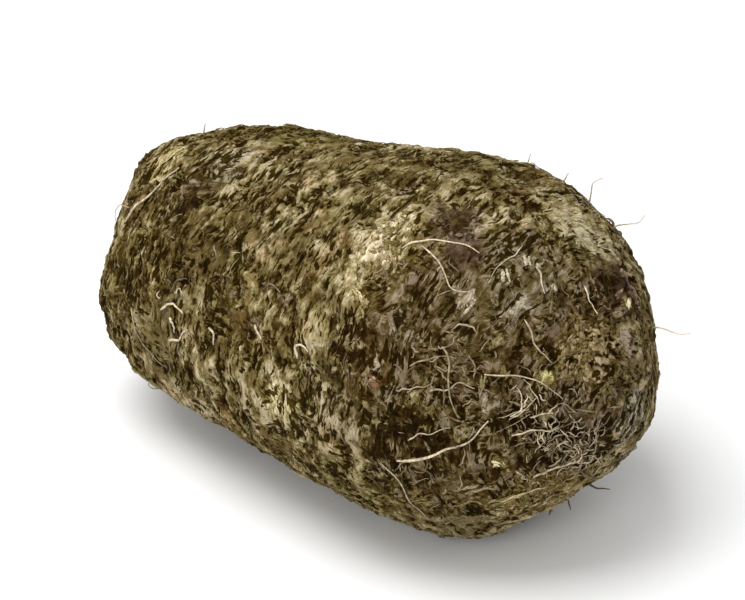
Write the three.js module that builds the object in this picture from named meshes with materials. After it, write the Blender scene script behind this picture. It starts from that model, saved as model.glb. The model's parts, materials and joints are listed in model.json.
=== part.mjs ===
// A yam: one swollen underground tuber, lying on its side as lifted and cleaned.
// Millimetres, +Z up. The tuber's long axis runs along X, with the broad growing tip towards +X
// and the narrower crown, where it hung from the vine, towards -X. The origin is on the ground,
// below the middle of its bounding box.
import * as THREE from "three";
import { mergeVertices } from "three/addons/utils/BufferGeometryUtils.js";

// Driving dimensions.
const CROWN_RADIUS = 41; // half the thickness at the vine end
const TIP_RADIUS = 49; // half the thickness at the growing tip
const CORE_LENGTH = 77; // between the centres of those two round ends
const FLATNESS = 0.97; // height over width: it grew a little broader than tall
const BOW = 2.5; // how far the middle bends towards -Y
const CROWN_BLUNTNESS = 1.5; // how much of the round crown end is squared off
const SITTING_DEPTH = 1; // how much the underside is flattened where it rests

// Swellings, and hollows with a negative height. along is from the middle of the core towards
// the tip, around is in degrees about the long axis, from +Y towards +Z, and reach is how far
// each spreads before it has mostly faded.
const SWELLINGS = [
  { name: "vine scar", along: -80, around: 90, reach: 9, height: -2.4 },
  { name: "scar lip", along: -76, around: 300, reach: 11, height: 1.4 },
  { name: "crown knuckle", along: -69, around: 109, reach: 12, height: 2.4 },
  { name: "crown flat", along: -70, around: 160, reach: 13, height: -2.2 },
  { name: "crown slope", along: -55, around: 76, reach: 12, height: -2 },
  { name: "crown shoulder", along: -63, around: 197, reach: 14, height: 2.2 },
  { name: "crown cheek", along: -54, around: 10, reach: 22, height: 1.8 },
  { name: "crown heel", along: -50, around: 236, reach: 14, height: -1 },
  { name: "back hollow", along: -14, around: 8, reach: 20, height: -2 },
  { name: "back swelling", along: 26, around: 62, reach: 22, height: 1.6 },
  { name: "back crease", along: 30, around: 335, reach: 15, height: -1.6 },
  { name: "top saddle", along: -8, around: 104, reach: 15, height: -0.9 },
  { name: "front dimple", along: 6, around: 168, reach: 15, height: -1.1 },
  { name: "front belly", along: 24, around: 208, reach: 20, height: 0.9 },
  { name: "under hollow", along: -2, around: 270, reach: 13, height: -1.2 },
  { name: "tip chin", along: 55, around: 246, reach: 14, height: 2.2 },
  { name: "tip heel", along: 71, around: 274, reach: 12, height: -1.4 },
  { name: "tip cheek", along: 78, around: 324, reach: 13, height: 1.9 },
  { name: "tip flat", along: 73, around: 12, reach: 14, height: -1.4 },
  { name: "tip knob", along: 84, around: 190, reach: 20, height: 1.2 },
];

// How finely the surface is faceted: each edge of an icosahedron is cut into DETAIL + 1 parts.
const DETAIL = 16;
// The sphere of rays is drawn out along X by this much, so that the facets come out even.
const RAY_STRETCH = 1.6;
const SEARCH_STEPS = 40;
const LONGEST_RAY = 140;

// Heights are measured before the body is squashed by FLATNESS, with both ends on the ground.
const crownCentre = new THREE.Vector3(-CORE_LENGTH / 2, 0, CROWN_RADIUS);
const tipCentre = new THREE.Vector3(CORE_LENGTH / 2, 0, TIP_RADIUS);

// Distance from a point to the tuber's plain body, negative inside: two balls of different size
// and the cone that wraps them, squashed in height and bowed in plan.
function bodyDistance(point) {
  const bow = BOW * (1 - (point.x / CORE_LENGTH) ** 2);
  const offset = new THREE.Vector3(point.x, point.y + bow, point.z / FLATNESS).sub(crownCentre);
  const axis = tipCentre.clone().sub(crownCentre);
  const length = axis.length();
  const taper = (CROWN_RADIUS - TIP_RADIUS) / length;
  const along = offset.dot(axis) / length;
  const aside = Math.sqrt(Math.max(0, offset.lengthSq() - along * along));
  const slant = taper / Math.sqrt(1 - taper * taper);
  const foot = THREE.MathUtils.clamp(along - slant * aside, 0, length);
  return Math.hypot(along - foot, aside) - (CROWN_RADIUS - taper * foot);
}

// Where a swelling sits: on the plain body, along and around its long axis.
function placeOf({ along, around }) {
  const angle = THREE.MathUtils.degToRad(around);
  const share = THREE.MathUtils.clamp(along / CORE_LENGTH + 0.5, 0, 1);
  const radius = THREE.MathUtils.lerp(CROWN_RADIUS, TIP_RADIUS, share);
  const pastCentre = Math.max(0, Math.abs(along) - CORE_LENGTH / 2);
  const aside = Math.sqrt(Math.max(0, radius * radius - pastCentre * pastCentre));
  const height = (radius + aside * Math.sin(angle)) * FLATNESS;
  return new THREE.Vector3(along, aside * Math.cos(angle), height);
}

const placedSwellings = SWELLINGS.map((swelling) => ({ ...swelling, place: placeOf(swelling) }));

// The larger of two values, rounded off over a width where they are nearly equal.
function smoothMax(a, b, width) {
  const near = Math.max(width - Math.abs(a - b), 0) / width;
  return Math.max(a, b) + (near * near * width) / 4;
}

// Distance to the real tuber: the plain body with its swellings, a blunt crown and a flat seat.
function tuberDistance(point) {
  let distance = bodyDistance(point);
  for (const { place, reach, height } of placedSwellings) {
    distance -= height * Math.exp(-point.distanceToSquared(place) / (reach * reach));
  }
  const crownPlane = -CORE_LENGTH / 2 - CROWN_RADIUS + CROWN_BLUNTNESS;
  distance = smoothMax(distance, crownPlane - point.x, 4 * CROWN_BLUNTNESS);
  return Math.max(distance, SITTING_DEPTH - point.z);
}

// The point where a ray from the middle of the core leaves the tuber, found by halving.
function surfacePoint(direction) {
  const middle = crownCentre.clone().lerp(tipCentre, 0.5);
  const point = new THREE.Vector3();
  let inside = 0;
  let outside = LONGEST_RAY;
  for (let step = 0; step < SEARCH_STEPS; step += 1) {
    const reach = (inside + outside) / 2;
    point.copy(middle).addScaledVector(direction, reach);
    if (tuberDistance(point) < 0) inside = reach;
    else outside = reach;
  }
  return point;
}

function tuberGeometry() {
  const rays = new THREE.IcosahedronGeometry(1, DETAIL);
  rays.deleteAttribute("normal");
  rays.deleteAttribute("uv");
  const geometry = mergeVertices(rays, 1e-5);
  const positions = geometry.getAttribute("position");
  const direction = new THREE.Vector3();
  for (let i = 0; i < positions.count; i += 1) {
    direction.fromBufferAttribute(positions, i);
    direction.x *= RAY_STRETCH;
    const point = surfacePoint(direction.normalize());
    // The seat comes out exactly level, as one true flat face to rest on.
    const height = point.z - SITTING_DEPTH;
    positions.setXYZ(i, point.x, point.y, height < 1e-4 ? 0 : height);
  }
  geometry.computeBoundingBox();
  const centre = geometry.boundingBox.getCenter(new THREE.Vector3());
  geometry.translate(-centre.x, -centre.y, 0);
  geometry.computeVertexNormals();
  return geometry;
}

const bark = new THREE.MeshStandardMaterial({
  name: "yam_bark",
  color: new THREE.Color(0.2, 0.16, 0.09),
  roughness: 0.85,
  metalness: 0,
});

const tuber = new THREE.Mesh(tuberGeometry(), bark);
tuber.name = "tuber";

const yam = new THREE.Group();
yam.name = "yam";
yam.add(tuber);

export default yam;
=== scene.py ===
"""A yam: one rough-barked tuber lying on its side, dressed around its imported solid.

Metres, +Z up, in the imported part's own frame. The long axis runs along X, from the crown at
-X, where the tuber hung from its vine, to the broad growing tip at +X. Bark patterns are laid
out in millimetres, because bark is described in millimetres.
"""

from __future__ import annotations

import json
import logging
import math
from dataclasses import dataclass, fields
from enum import Enum

import bpy
import numpy as np
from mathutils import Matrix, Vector
from mathutils.bvhtree import BVHTree

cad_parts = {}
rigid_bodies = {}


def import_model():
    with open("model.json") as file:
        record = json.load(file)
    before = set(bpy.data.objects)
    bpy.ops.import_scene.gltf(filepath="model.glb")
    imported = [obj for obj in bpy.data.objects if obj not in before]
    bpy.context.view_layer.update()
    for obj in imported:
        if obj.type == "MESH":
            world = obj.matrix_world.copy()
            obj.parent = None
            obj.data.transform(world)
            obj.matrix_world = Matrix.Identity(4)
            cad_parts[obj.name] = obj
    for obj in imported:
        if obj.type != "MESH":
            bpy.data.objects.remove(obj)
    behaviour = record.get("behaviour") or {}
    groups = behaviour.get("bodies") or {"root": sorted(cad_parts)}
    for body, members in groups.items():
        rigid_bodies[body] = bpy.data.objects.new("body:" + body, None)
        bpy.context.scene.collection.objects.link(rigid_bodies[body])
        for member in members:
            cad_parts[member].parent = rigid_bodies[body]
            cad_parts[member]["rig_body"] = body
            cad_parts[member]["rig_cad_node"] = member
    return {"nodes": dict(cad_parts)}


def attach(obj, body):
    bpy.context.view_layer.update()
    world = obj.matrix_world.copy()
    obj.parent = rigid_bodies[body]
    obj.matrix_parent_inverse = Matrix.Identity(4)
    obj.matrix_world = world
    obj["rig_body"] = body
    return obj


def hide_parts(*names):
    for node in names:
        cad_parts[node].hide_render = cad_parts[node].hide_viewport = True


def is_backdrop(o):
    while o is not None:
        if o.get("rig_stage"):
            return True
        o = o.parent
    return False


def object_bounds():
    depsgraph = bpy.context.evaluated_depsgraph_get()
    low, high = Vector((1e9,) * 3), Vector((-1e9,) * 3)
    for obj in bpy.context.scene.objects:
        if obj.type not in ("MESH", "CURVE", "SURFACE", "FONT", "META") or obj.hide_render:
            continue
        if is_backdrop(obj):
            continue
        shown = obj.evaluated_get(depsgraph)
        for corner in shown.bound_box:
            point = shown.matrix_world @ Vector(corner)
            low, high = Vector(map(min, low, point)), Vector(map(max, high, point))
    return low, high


MM = 0.001
BODY = "root"
NODE = "tuber"
GRAIN = "grain"
LEVEL = "level"
TINT = "tint"
# The spread of a cloudy noise's values, for each whole number of finer layers.
CLOUD_SPREADS = (0.133, 0.099, 0.087, 0.076, 0.072, 0.069)
# A crack's half width at its ends, as a share of that in its middle.
LINE_END = 0.3
LOG = logging.getLogger("yam")

Rgb = tuple[float, float, float]
Size = tuple[float, float]
Span = tuple[float, float]
Piece = bpy.types.Object
Material = bpy.types.Material
Node = bpy.types.Node
NodeTree = bpy.types.NodeTree
Array = np.ndarray
Rng = np.random.Generator
Socket = bpy.types.NodeSocket
Feed = Socket | float | tuple | str


class Slot(Enum):
    """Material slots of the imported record."""

    BARK = "bark"
    ROOTLET = "rootlet"
    FLAKE = "cork_flake"


class DarkWarmth:
    """How the darker colours are warmed, from their linear red, green and blue."""

    GREEN_POWER = 1.09
    GREEN_GAIN = 1.2
    BLUE_POWER = 1.5
    BLUE_GAIN = 5.15
    BLUE_TOE = 0.014
    BLUE_SHARE = 0.59


class Bench:
    """Lays and joins nodes in one tree, of a material or of a shape modifier."""

    def __init__(self, tree: NodeTree) -> None:
        """Keeps the tree that the nodes go into."""
        self.tree = tree

    def add(self, kind: str, *values: Feed, **settings: object) -> Node:
        """Adds one node.

        Args:
            kind: The node's type name.
            *values: What its inputs get, in their order.
            **settings: Properties to set on it.

        Returns:
            The new node.
        """
        node = self.tree.nodes.new(kind)
        for name, value in settings.items():
            setattr(node, name, value)
        for socket, value in zip(node.inputs, values):
            self.feed(socket, value)
        return node

    def join(self, node: Node, values: dict[str, Feed]) -> None:
        """Joins or sets a node's inputs by their names."""
        for name, value in values.items():
            self.feed(node.inputs[name], value)

    def feed(self, socket: Socket, value: Feed) -> None:
        """Joins an input to another node's output, or sets it.

        Args:
            socket: The input.
            value: An output, a number, or a vector or colour.
        """
        if isinstance(value, Socket):
            self.tree.links.new(value, socket)
        elif isinstance(value, tuple) and socket.type == "RGBA" and len(value) == 3:
            socket.default_value = (*value, 1.0)
        else:
            socket.default_value = value

    def math(self, operation: str, *values: Feed) -> Socket:
        """Works out one of the Math node's operations."""
        return self.add("ShaderNodeMath", *values, operation=operation).outputs[0]

    def plus(self, first: Feed, second: Feed) -> Socket:
        """Adds two numbers."""
        return self.math("ADD", first, second)

    def minus(self, first: Feed, second: Feed) -> Socket:
        """Takes the second number from the first."""
        return self.math("SUBTRACT", first, second)

    def times(self, first: Feed, second: Feed) -> Socket:
        """Multiplies two numbers."""
        return self.math("MULTIPLY", first, second)

    def most(self, first: Feed, second: Feed) -> Socket:
        """Takes the larger of two numbers."""
        return self.math("MAXIMUM", first, second)

    def weighted(self, part: Feed, weight: Feed, rest: Feed) -> Socket:
        """Adds a part to the rest, by its weight."""
        return self.math("MULTIPLY_ADD", part, weight, rest)

    def vector(self, operation: str, *values: Feed) -> Socket:
        """Works out one of the Vector Math node's operations, a number for a distance."""
        node = self.add("ShaderNodeVectorMath", *values, operation=operation)
        return node.outputs[1 if operation in ("DISTANCE", "LENGTH", "DOT_PRODUCT") else 0]

    def noise(self, place: Feed, detail: float = 2.0, roughness: float = 0.5) -> tuple[Socket, Socket]:
        """Adds a cloudy noise.

        Args:
            place: Where it is read, in the size of its own clouds.
            detail: How many finer layers it has.
            roughness: How strong those are.

        Returns:
            Its value, near 0.5, and its colour.
        """
        node = self.add("ShaderNodeTexNoise")
        self.join(node, {"Vector": place, "Scale": 1.0, "Detail": detail, "Roughness": roughness})
        return node.outputs[0], node.outputs[1]

    def clouds(self, place: Feed, detail: float = 2.0) -> Socket:
        """Adds a cloudy noise that is centred on 0 and mostly runs from -1 to 1.

        Args:
            place: Where it is read, in the size of its own clouds.
            detail: How many finer layers it has.

        Returns:
            Its value.
        """
        spread = CLOUD_SPREADS[min(round(detail), len(CLOUD_SPREADS) - 1)]
        value = self.noise(place, detail, 0.6)[0]
        return self.weighted(value, 1 / spread, -0.5 / spread)

    def frayed(self, place: Feed, source: Feed, detail: float, reach: float) -> Socket:
        """Shifts a place by a noise read at the source, so that outlines there are ragged."""
        shift = self.vector("SUBTRACT", self.noise(source, detail)[1], (0.5, 0.5, 0.5))
        return self.vector("ADD", place, self.scaled(shift, reach))

    def away(self, place: Feed, surface: Surface, spot: Patch | Tuft | Knot | Blush) -> Socket:
        """Measures how far a place is from a named spot on the smooth tuber, in mm."""
        centre = surface.at(spot.along, spot.around)[0] / MM
        return self.vector("DISTANCE", place, tuple(centre))

    def cells(self, place: Feed) -> tuple[Socket, Socket]:
        """Adds a pattern of irregular cells.

        Args:
            place: Where it is read, in the size of its own cells.

        Returns:
            The distance to the cell's centre, and a random colour per cell.
        """
        node = self.add("ShaderNodeTexVoronoi", feature="F1")
        self.join(node, {"Vector": place, "Scale": 1.0, "Randomness": 1.0})
        return node.outputs["Distance"], node.outputs["Color"]

    def step(self, value: Feed, low: Feed, high: Feed, start: Feed = 0.0, end: Feed = 1.0) -> Socket:
        """Eases from one number to another as a value goes from low to high.

        Args:
            value: The value.
            low: Where the easing starts.
            high: Where it ends.
            start: The result at and below low.
            end: The result at and above high.

        Returns:
            The result.
        """
        values = (value, low, high, start, end)
        node = self.add("ShaderNodeMapRange", *values, interpolation_type="SMOOTHSTEP")
        return node.outputs[0]

    def blend(self, share: Feed, first: Feed, second: Feed, mode: str = "MIX") -> Socket:
        """Blends two colours.

        Args:
            share: How much of the second.
            first: The first colour.
            second: The second colour.
            mode: How they are blended.

        Returns:
            The colour.
        """
        node = self.add("ShaderNodeMix", data_type="RGBA", blend_type=mode)
        self.feed(node.inputs[0], share)
        self.feed(node.inputs[6], first)
        self.feed(node.inputs[7], second)
        return node.outputs[2]

    def mix(self, share: Feed, first: Feed, second: Feed) -> Socket:
        """Mixes two numbers, with this share of the second."""
        return self.weighted(share, self.minus(second, first), first)

    def scaled(self, vector: Feed, *scale: Feed) -> Socket:
        """Scales a vector or a colour.

        Args:
            vector: The vector or colour.
            *scale: One number for all three parts, or one for each.

        Returns:
            The scaled vector.
        """
        if len(scale) == 3:
            return self.vector("MULTIPLY", vector, scale)
        node = self.add("ShaderNodeVectorMath", vector, operation="SCALE")
        self.join(node, {"Scale": scale[0]})
        return node.outputs[0]

    def line_reach(self, place: Feed, start: Vector, end: Vector, width: float) -> Socket:
        """Measures how far a place is from a line that is widest in its middle.

        Args:
            place: The place.
            start: One end of the line.
            end: Its other end.
            width: Its half width in the middle, in the same units.

        Returns:
            0 on the line and 1 at its sides.
        """
        course = end - start
        offset = self.vector("SUBTRACT", place, tuple(start))
        share = self.vector("DOT_PRODUCT", offset, tuple(course))
        share = self.clamped(self.math("DIVIDE", share, course.length_squared))
        near = self.scaled(tuple(course), share)
        bulge = self.times(share, self.minus(1.0, share))
        side = self.weighted(bulge, 4.0 * (1.0 - LINE_END) * width, LINE_END * width)
        return self.math("DIVIDE", self.vector("DISTANCE", offset, near), side)

    def clamped(self, value: Feed) -> Socket:
        """Keeps a number between 0 and 1."""
        return self.add("ShaderNodeClamp", value).outputs[0]

    def soiled(self, colour: Feed) -> Socket:
        """Warms the darker colours.

        Args:
            colour: The colour.

        Returns:
            The colour with less green and much less blue where it is dark.
        """
        red, green, blue = self.parts(colour)
        green = self.times(self.math("POWER", green, DarkWarmth.GREEN_POWER), DarkWarmth.GREEN_GAIN)
        faded = self.times(self.math("POWER", blue, DarkWarmth.BLUE_POWER), DarkWarmth.BLUE_GAIN)
        faded = self.times(faded, self.math("DIVIDE", blue, self.plus(blue, DarkWarmth.BLUE_TOE)))
        faded = self.math("MINIMUM", faded, self.times(red, DarkWarmth.BLUE_SHARE))
        return self.add("ShaderNodeCombineXYZ", red, green, faded).outputs[0]

    def attribute(self, name: str) -> Node:
        """Reads one of the mesh's own values by name."""
        return self.add("ShaderNodeAttribute", attribute_name=name)

    def object_place(self) -> Socket:
        """Gives the place in the piece's own frame, in mm."""
        return self.scaled(self.add("ShaderNodeTexCoord").outputs["Object"], 1.0 / MM)

    def hues(self, group: NodeTree, grain: Feed, level: Feed) -> tuple[Socket, Socket]:
        """Places the group of bark colours.

        Args:
            group: The group.
            grain: The grain place.
            level: How thick the cork is.

        Returns:
            The colour of the cork, and of the skin under it.
        """
        node = self.add("ShaderNodeGroup", node_tree=group)
        self.join(node, {"Place": self.object_place(), "Grain": grain, "Level": level})
        return node.outputs["Cork"], node.outputs["Skin"]

    def bump(self, shader: Node, height: Feed, strength: float) -> None:
        """Gives a shader its fine relief.

        Args:
            shader: The shader.
            height: The relief, in mm.
            strength: How strong it is.
        """
        node = self.add("ShaderNodeBump")
        self.join(node, {"Distance": MM, "Strength": strength, "Height": height})
        self.join(shader, {"Normal": node.outputs[0]})

    def parts(self, vector: Feed) -> tuple[Socket, Socket, Socket]:
        """Splits a vector or a colour into its three numbers."""
        node = self.add("ShaderNodeSeparateXYZ", vector)
        return node.outputs[0], node.outputs[1], node.outputs[2]


@dataclass(frozen=True)
class Patch:
    """A round patch where cork is lost, or kept with a negative loss.

    Its place is along the tuber in mm and around it in degrees, and its radius is in mm. A calm
    patch has fewer slits and wrinkles.
    """

    name: str
    along: float
    around: float
    radius: float
    loss: float
    calm: float = 0.0


@dataclass(frozen=True)
class Tuft:
    """A place where small things crowd together: along in mm, around in degrees."""

    along: float
    around: float
    radius: float
    density: float


@dataclass(frozen=True)
class Gash:
    """A deep crack between two places, each along in mm and around in degrees."""

    start: tuple[float, float]
    end: tuple[float, float]
    half_width: float
    depth: float = 0.7


@dataclass(frozen=True)
class Knot:
    """A dark hole in a pale rim, where a thick root broke off. Millimetres and degrees."""

    along: float
    around: float
    radius: float


@dataclass(frozen=True)
class Ring:
    """A shallow groove, or a ridge with a negative depth, around part of the tuber."""

    along: float
    width: float
    depth: float


@dataclass(frozen=True)
class Marks:
    """What is broad or has a name at each place, which the mesh stores.

    How much cork there is on the whole, how broken it is, how free of slits, and whether its
    grain runs lengthways. Then the gashes' depth in mm, and the knots' pits and rims.
    """

    growth: Feed
    rough: Feed
    calm: Feed
    way: Feed
    gash: Feed
    pit: Feed
    rim: Feed


MARKS = tuple(field.name for field in fields(Marks))


@dataclass(frozen=True)
class Relief:
    """What the bark's pattern gives at each place."""

    height: Socket
    level: Socket
    cover: Socket
    # Painted shade: where the bark is darkened as the shade in its slits, cracks, pits, holes and
    # gashes, and under the cork's edges.
    dark: Socket
    wrinkle: Socket
    fibre: Socket
    scar_rim: Socket


@dataclass(frozen=True)
class BarkPattern:
    """The bark: thin cork in broken layers, drawn out around the tuber, over a darker skin.

    The same pattern shapes the mesh and colours it, so colour and relief agree. Its level is
    how much cork is left: below about 0 the skin is bare, and above it the layers pile up.
    Sizes are in mm, along the tuber and around it, and a scale is in clouds per mm. An edge is
    where something starts and where it is full. A wander is the size of a swirl and how far it
    goes, a layer is the level where it starts and its thickness, and a rise is in mm.
    """

    chip: Size = (3.0, 4.6)
    crumb: Size = (0.85, 1.3)
    slit: Size = (1.2, 3.8)
    hole: Size = (2.6, 4.5)
    crack: Size = (2.6, 8.0)
    fibre: Size = (0.4, 2.6)
    wrinkle_nets: tuple[Size, ...] = ((6.0, 2.5), (2.4, 5.5), (5.2, 4.4))
    wrinkle_shift: float = 11.0
    wanders: tuple[Size, ...] = ((17.0, 8.0), (7.0, 2.0), (2.2, 0.5))
    scar_spacing: float = 8.5
    scar_radius: float = 0.75
    scar_chance: float = 0.4
    scar_fray: float = 1.2

    lump_scale: float = 0.36
    mound_scale: float = 0.085
    broad_scale: float = 0.045
    clump_scale: float = 0.11
    rough_scale: float = 0.075
    swirl_scale: float = 0.085
    fray_scale: float = 0.55
    scar_fray_scale: float = 0.9
    ring_scale: float = 0.03

    cover_edge: Span = (-0.3, 0.2)
    slit_edge: Span = (-1.15, -1.75)
    crack_edge: Span = (0.12, 0.03)
    crack_break: Span = (0.1, 0.8)
    hole_edge: Span = (-1.55, -2.0)
    wrinkle_edge: Span = (0.5, 0.15)
    wrinkle_break: Span = (-0.3, 0.5)
    gash_edge: Span = (1.6, 0.5)

    chip_weight: float = 1.2
    crumb_weight: float = 0.3
    growth: float = 1.2
    broad_growth: float = 0.22
    clump_growth: float = 0.35
    layers: tuple[Span, ...] = ((0.0, 0.13), (0.8, 0.08), (1.6, 0.07))
    layer_edge: float = 0.14
    level_rise: float = 0.05
    lump_rise: float = 0.12
    slit_rise: float = -0.3
    hole_rise: float = -0.3
    fibre_rise: float = 0.02
    wrinkle_rise: float = 0.25
    rim_rise: float = 0.45
    pit_rise: float = -0.7
    mound_rise: float = 0.35
    # Painted shadow: how dark the band of bare skin beside the cork's edges is made, as the shadow
    # under the lifted edges.
    undercut_dark: float = 0.55
    # Painted shade: how dark the holes are made, as the shade in them.
    hole_dark: float = 0.85

    peeled_centre: tuple[float, float, float] = (72.0, -28.0, 60.0)
    peeled_radius: float = 43.5
    peeled_fade: float = 7.0
    peeled_loss: float = 3.0
    peeled_fray: float = 3.5
    patch_fray: float = 2.0
    patches: tuple[Patch, ...] = (
        Patch("glinting hollow", -43, 127, 8.0, 1.6),
        Patch("crease", -11, 152, 6.0, 1.2),
        Patch("plum cheek", 72, 60, 6.5, 2.6, 1.6),
        Patch("plum shoulder", 42, 108, 6.0, 2.0, 1.4),
        Patch("plum flank", 50, 117, 5.0, 0.5, 1.2),
        Patch("dark flank", 51, 179, 5.0, 0.5, 1.0),
        Patch("calm flank", 0, 152, 10.0, -0.3, 1.3),
        Patch("calm keel", 50, 223, 9.0, 0.0, 0.9),
        Patch("kept margin", 38, 182, 8.0, -1.9),
        Patch("kept edge", 76, 231, 8.0, -1.5, 0.3),
        Patch("kept rim", 81, 322, 7.0, -1.6),
        Patch("brown crown", -38, 155, 11.0, 0.9),
        Patch("back of the crown", -50, 320, 14.0, 1.3),
        Patch("underside", 10, 270, 22.0, 1.0),
        Patch("far cheek", 30, 350, 12.0, 1.4),
        Patch("cream patch", 31, 123, 7.5, -1.0, 1.2),
        Patch("yellow patch", 25, 155, 3.4, -0.6, 1.2),
        Patch("golden tip", 79, 100, 9.0, -2.4),
        Patch("tan plate", 78, 54, 4.5, -2.4, 1.4),
        Patch("tan rim", 80, 20, 6.0, -2.2, 0.8),
        Patch("mossy cheek", 61, 70, 11.0, -1.2, 0.4),
        Patch("tan net", 57, 125, 4.5, -2.0, 0.8),
        Patch("brown lump", 70, 160, 3.5, -2.2, 1.2),
        Patch("keel", 62, 228, 9.0, -1.2),
    )
    lengthways: tuple[Tuft, ...] = (
        Tuft(36, 205, 15.0, 2.5),
        Tuft(8, 200, 12.0, 1.6),
        Tuft(62, 158, 12.0, 2.5),
        Tuft(-20, 330, 16.0, 2.0),
        Tuft(70, 235, 12.0, 1.5),
    )
    gashes: tuple[Gash, ...] = (
        Gash((-16, 136), (-12, 148), 0.8),
        Gash((-13, 146), (-6, 159), 0.7),
        Gash((-58, 110), (-57, 136), 0.6),
        Gash((-57, 134), (-51, 158), 0.6),
        Gash((40, 148), (45, 166), 0.5, 0.45),
        Gash((45, 165), (47, 185), 0.5, 0.45),
        Gash((47, 184), (51, 198), 0.7),
        Gash((50, 196), (55, 217), 0.8),
        Gash((79, 84), (80, 40), 0.5, 0.5),
        Gash((80, 38), (80, 345), 0.5, 0.5),
        Gash((80, 343), (80, 315), 0.5, 0.5),
        Gash((-30, 300), (-24, 322), 0.7),
        Gash((18, 345), (22, 372), 0.7),
        Gash((-2, 20), (0, 44), 0.6),
        Gash((60, 2), (64, 24), 0.6),
    )
    knots: tuple[Knot, ...] = (
        Knot(21, 142, 1.3),
        Knot(-77, 205, 4.0),
        Knot(44, 162, 0.9),
        Knot(-36, 40, 1.2),
        Knot(12, 310, 1.3),
        Knot(54, 330, 1.1),
    )
    rings: tuple[Ring, ...] = (
        Ring(-60.0, 1.5, 0.9),
        Ring(-56.0, 1.6, -0.5),
        Ring(-24.0, 3.2, 1.3),
        Ring(-15.0, 2.6, -0.7),
        Ring(8.0, 2.4, 0.6),
    )

    def wire(self, bench: Bench, grain: Feed, marks: Marks) -> Relief:
        """Lays the pattern's nodes.

        Args:
            bench: Where the nodes go.
            grain: The grain place, in mm.
            marks: The named features there.

        Returns:
            The pattern's outputs: height in mm, level, and the others from 0 to 1.
        """
        place = self.drift(bench, grain)
        level = self.level(bench, place, marks)
        cover = bench.step(level, *self.cover_edge)
        slit = self.slits(bench, place, marks)
        fibre = self.turned(bench, place, self.fibre, 3.0, marks.way)
        bare = bench.times(bench.minus(1.0, cover), bench.step(marks.calm, -0.7, 0.1, 1.0, 0.2))
        wrinkle = bench.times(self.wrinkles(bench, place, marks.way), bare)
        pit, rim = self.scars(bench, grain)
        pit = bench.most(pit, marks.pit)
        rim = bench.most(rim, marks.rim)
        hole = self.below(bench, self.spots(bench, place, self.hole, 2.5), self.hole_edge)

        height: Feed = bench.times(level, self.level_rise)
        for start, thickness in self.layers:
            low, high = start - self.layer_edge, start + self.layer_edge
            height = bench.plus(height, bench.step(level, low, high, 0.0, thickness))
        lumps = bench.clouds(bench.scaled(place, self.lump_scale), 3.0)
        for part, rise in (
            (lumps, self.lump_rise),
            (slit, self.slit_rise),
            (hole, self.hole_rise),
            (fibre, self.fibre_rise),
            (wrinkle, self.wrinkle_rise),
            (rim, self.rim_rise),
            (pit, self.pit_rise),
        ):
            height = bench.weighted(part, rise, height)
        # Painted shadow: a narrow band of bare skin just beside the cork's edge, darkened as the
        # shadow under the lifted edge.
        rising, falling = bench.step(level, -0.8, -0.15), bench.step(level, -0.15, 0.1, 1.0, 0.0)
        edge_shadow_band = bench.times(rising, falling)
        # Painted shade: the dark mask darkens the slits, cracks, pits, holes and gashes as the shade
        # in them, and the band beside the cork's edges as the shadow under it.
        dark = bench.most(bench.most(slit, pit), bench.times(edge_shadow_band, self.undercut_dark))
        dark = bench.most(dark, bench.times(hole, self.hole_dark))
        dark = bench.most(dark, bench.step(marks.gash, 0.1, 0.4))
        return Relief(height, level, cover, dark, wrinkle, fibre, rim)

    def broad_height(self, bench: Bench, grain: Feed, marks: Marks) -> Socket:
        """Works out the relief that is too broad to matter to the finish, for the mesh alone.

        Args:
            bench: Where the nodes go.
            grain: The grain place, in mm.
            marks: The named features there.

        Returns:
            The height in mm.
        """
        mounds = bench.clouds(bench.scaled(grain, self.mound_scale), 2.0)
        mounds = bench.times(mounds, self.mound_rise)
        rings = self.ring_height(bench, grain, self.drift(bench, grain))
        return bench.minus(bench.plus(mounds, rings), marks.gash)

    def marks(self, bench: Bench, grain: Feed, spot: Feed, surface: Surface) -> Marks:
        """Places the named features.

        Args:
            bench: Where the nodes go.
            grain: The grain place, in mm.
            spot: The place in the piece's own frame, in mm.
            surface: The smooth tuber.

        Returns:
            The marks at each place.
        """
        pit: Feed = 0.0
        rim: Feed = 0.0
        frayed = self.frayed(bench, spot, 2.0)
        for knot in self.knots:
            away = bench.math("DIVIDE", bench.away(frayed, surface, knot), knot.radius)
            hollow = bench.step(away, 0.7, 1.3, 1.0, 0.0)
            collar = bench.step(away, 1.5, 2.3, 1.0, 0.0)
            pit = bench.most(pit, hollow)
            rim = bench.most(rim, bench.minus(collar, hollow))
        clump = bench.clouds(bench.scaled(grain, self.clump_scale), 3.0)
        broad = bench.clouds(bench.scaled(grain, self.broad_scale), 2.0)
        growth = bench.weighted(broad, self.broad_growth, self.growth)
        growth = bench.weighted(clump, self.clump_growth, growth)
        loss, still = self.wear(bench, spot, clump, surface)
        growth = bench.minus(growth, loss)
        rough = bench.vector("ADD", bench.scaled(grain, self.rough_scale), (9.0, 4.0, 2.0))
        rough = bench.step(bench.clouds(rough, 2.0), -0.9, 0.7, 0.3, 1.0)
        calm = bench.weighted(rough, -0.9, bench.weighted(clump, 0.5, still))
        swirl = bench.vector("ADD", bench.scaled(grain, self.swirl_scale), (5.0, 1.0, 8.0))
        way: Feed = bench.minus(bench.clouds(swirl, 1.0), 0.9)
        for tuft in self.lengthways:
            away = bench.away(spot, surface, tuft)
            full, none = tuft.radius * 0.5, tuft.radius * 1.3
            way = bench.plus(way, bench.step(away, full, none, tuft.density, 0.0))
        return Marks(
            growth=growth,
            rough=rough,
            calm=calm,
            way=bench.step(way, -0.5, 0.5),
            gash=self.gash_depth(bench, spot, surface),
            pit=pit,
            rim=rim,
        )

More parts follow.
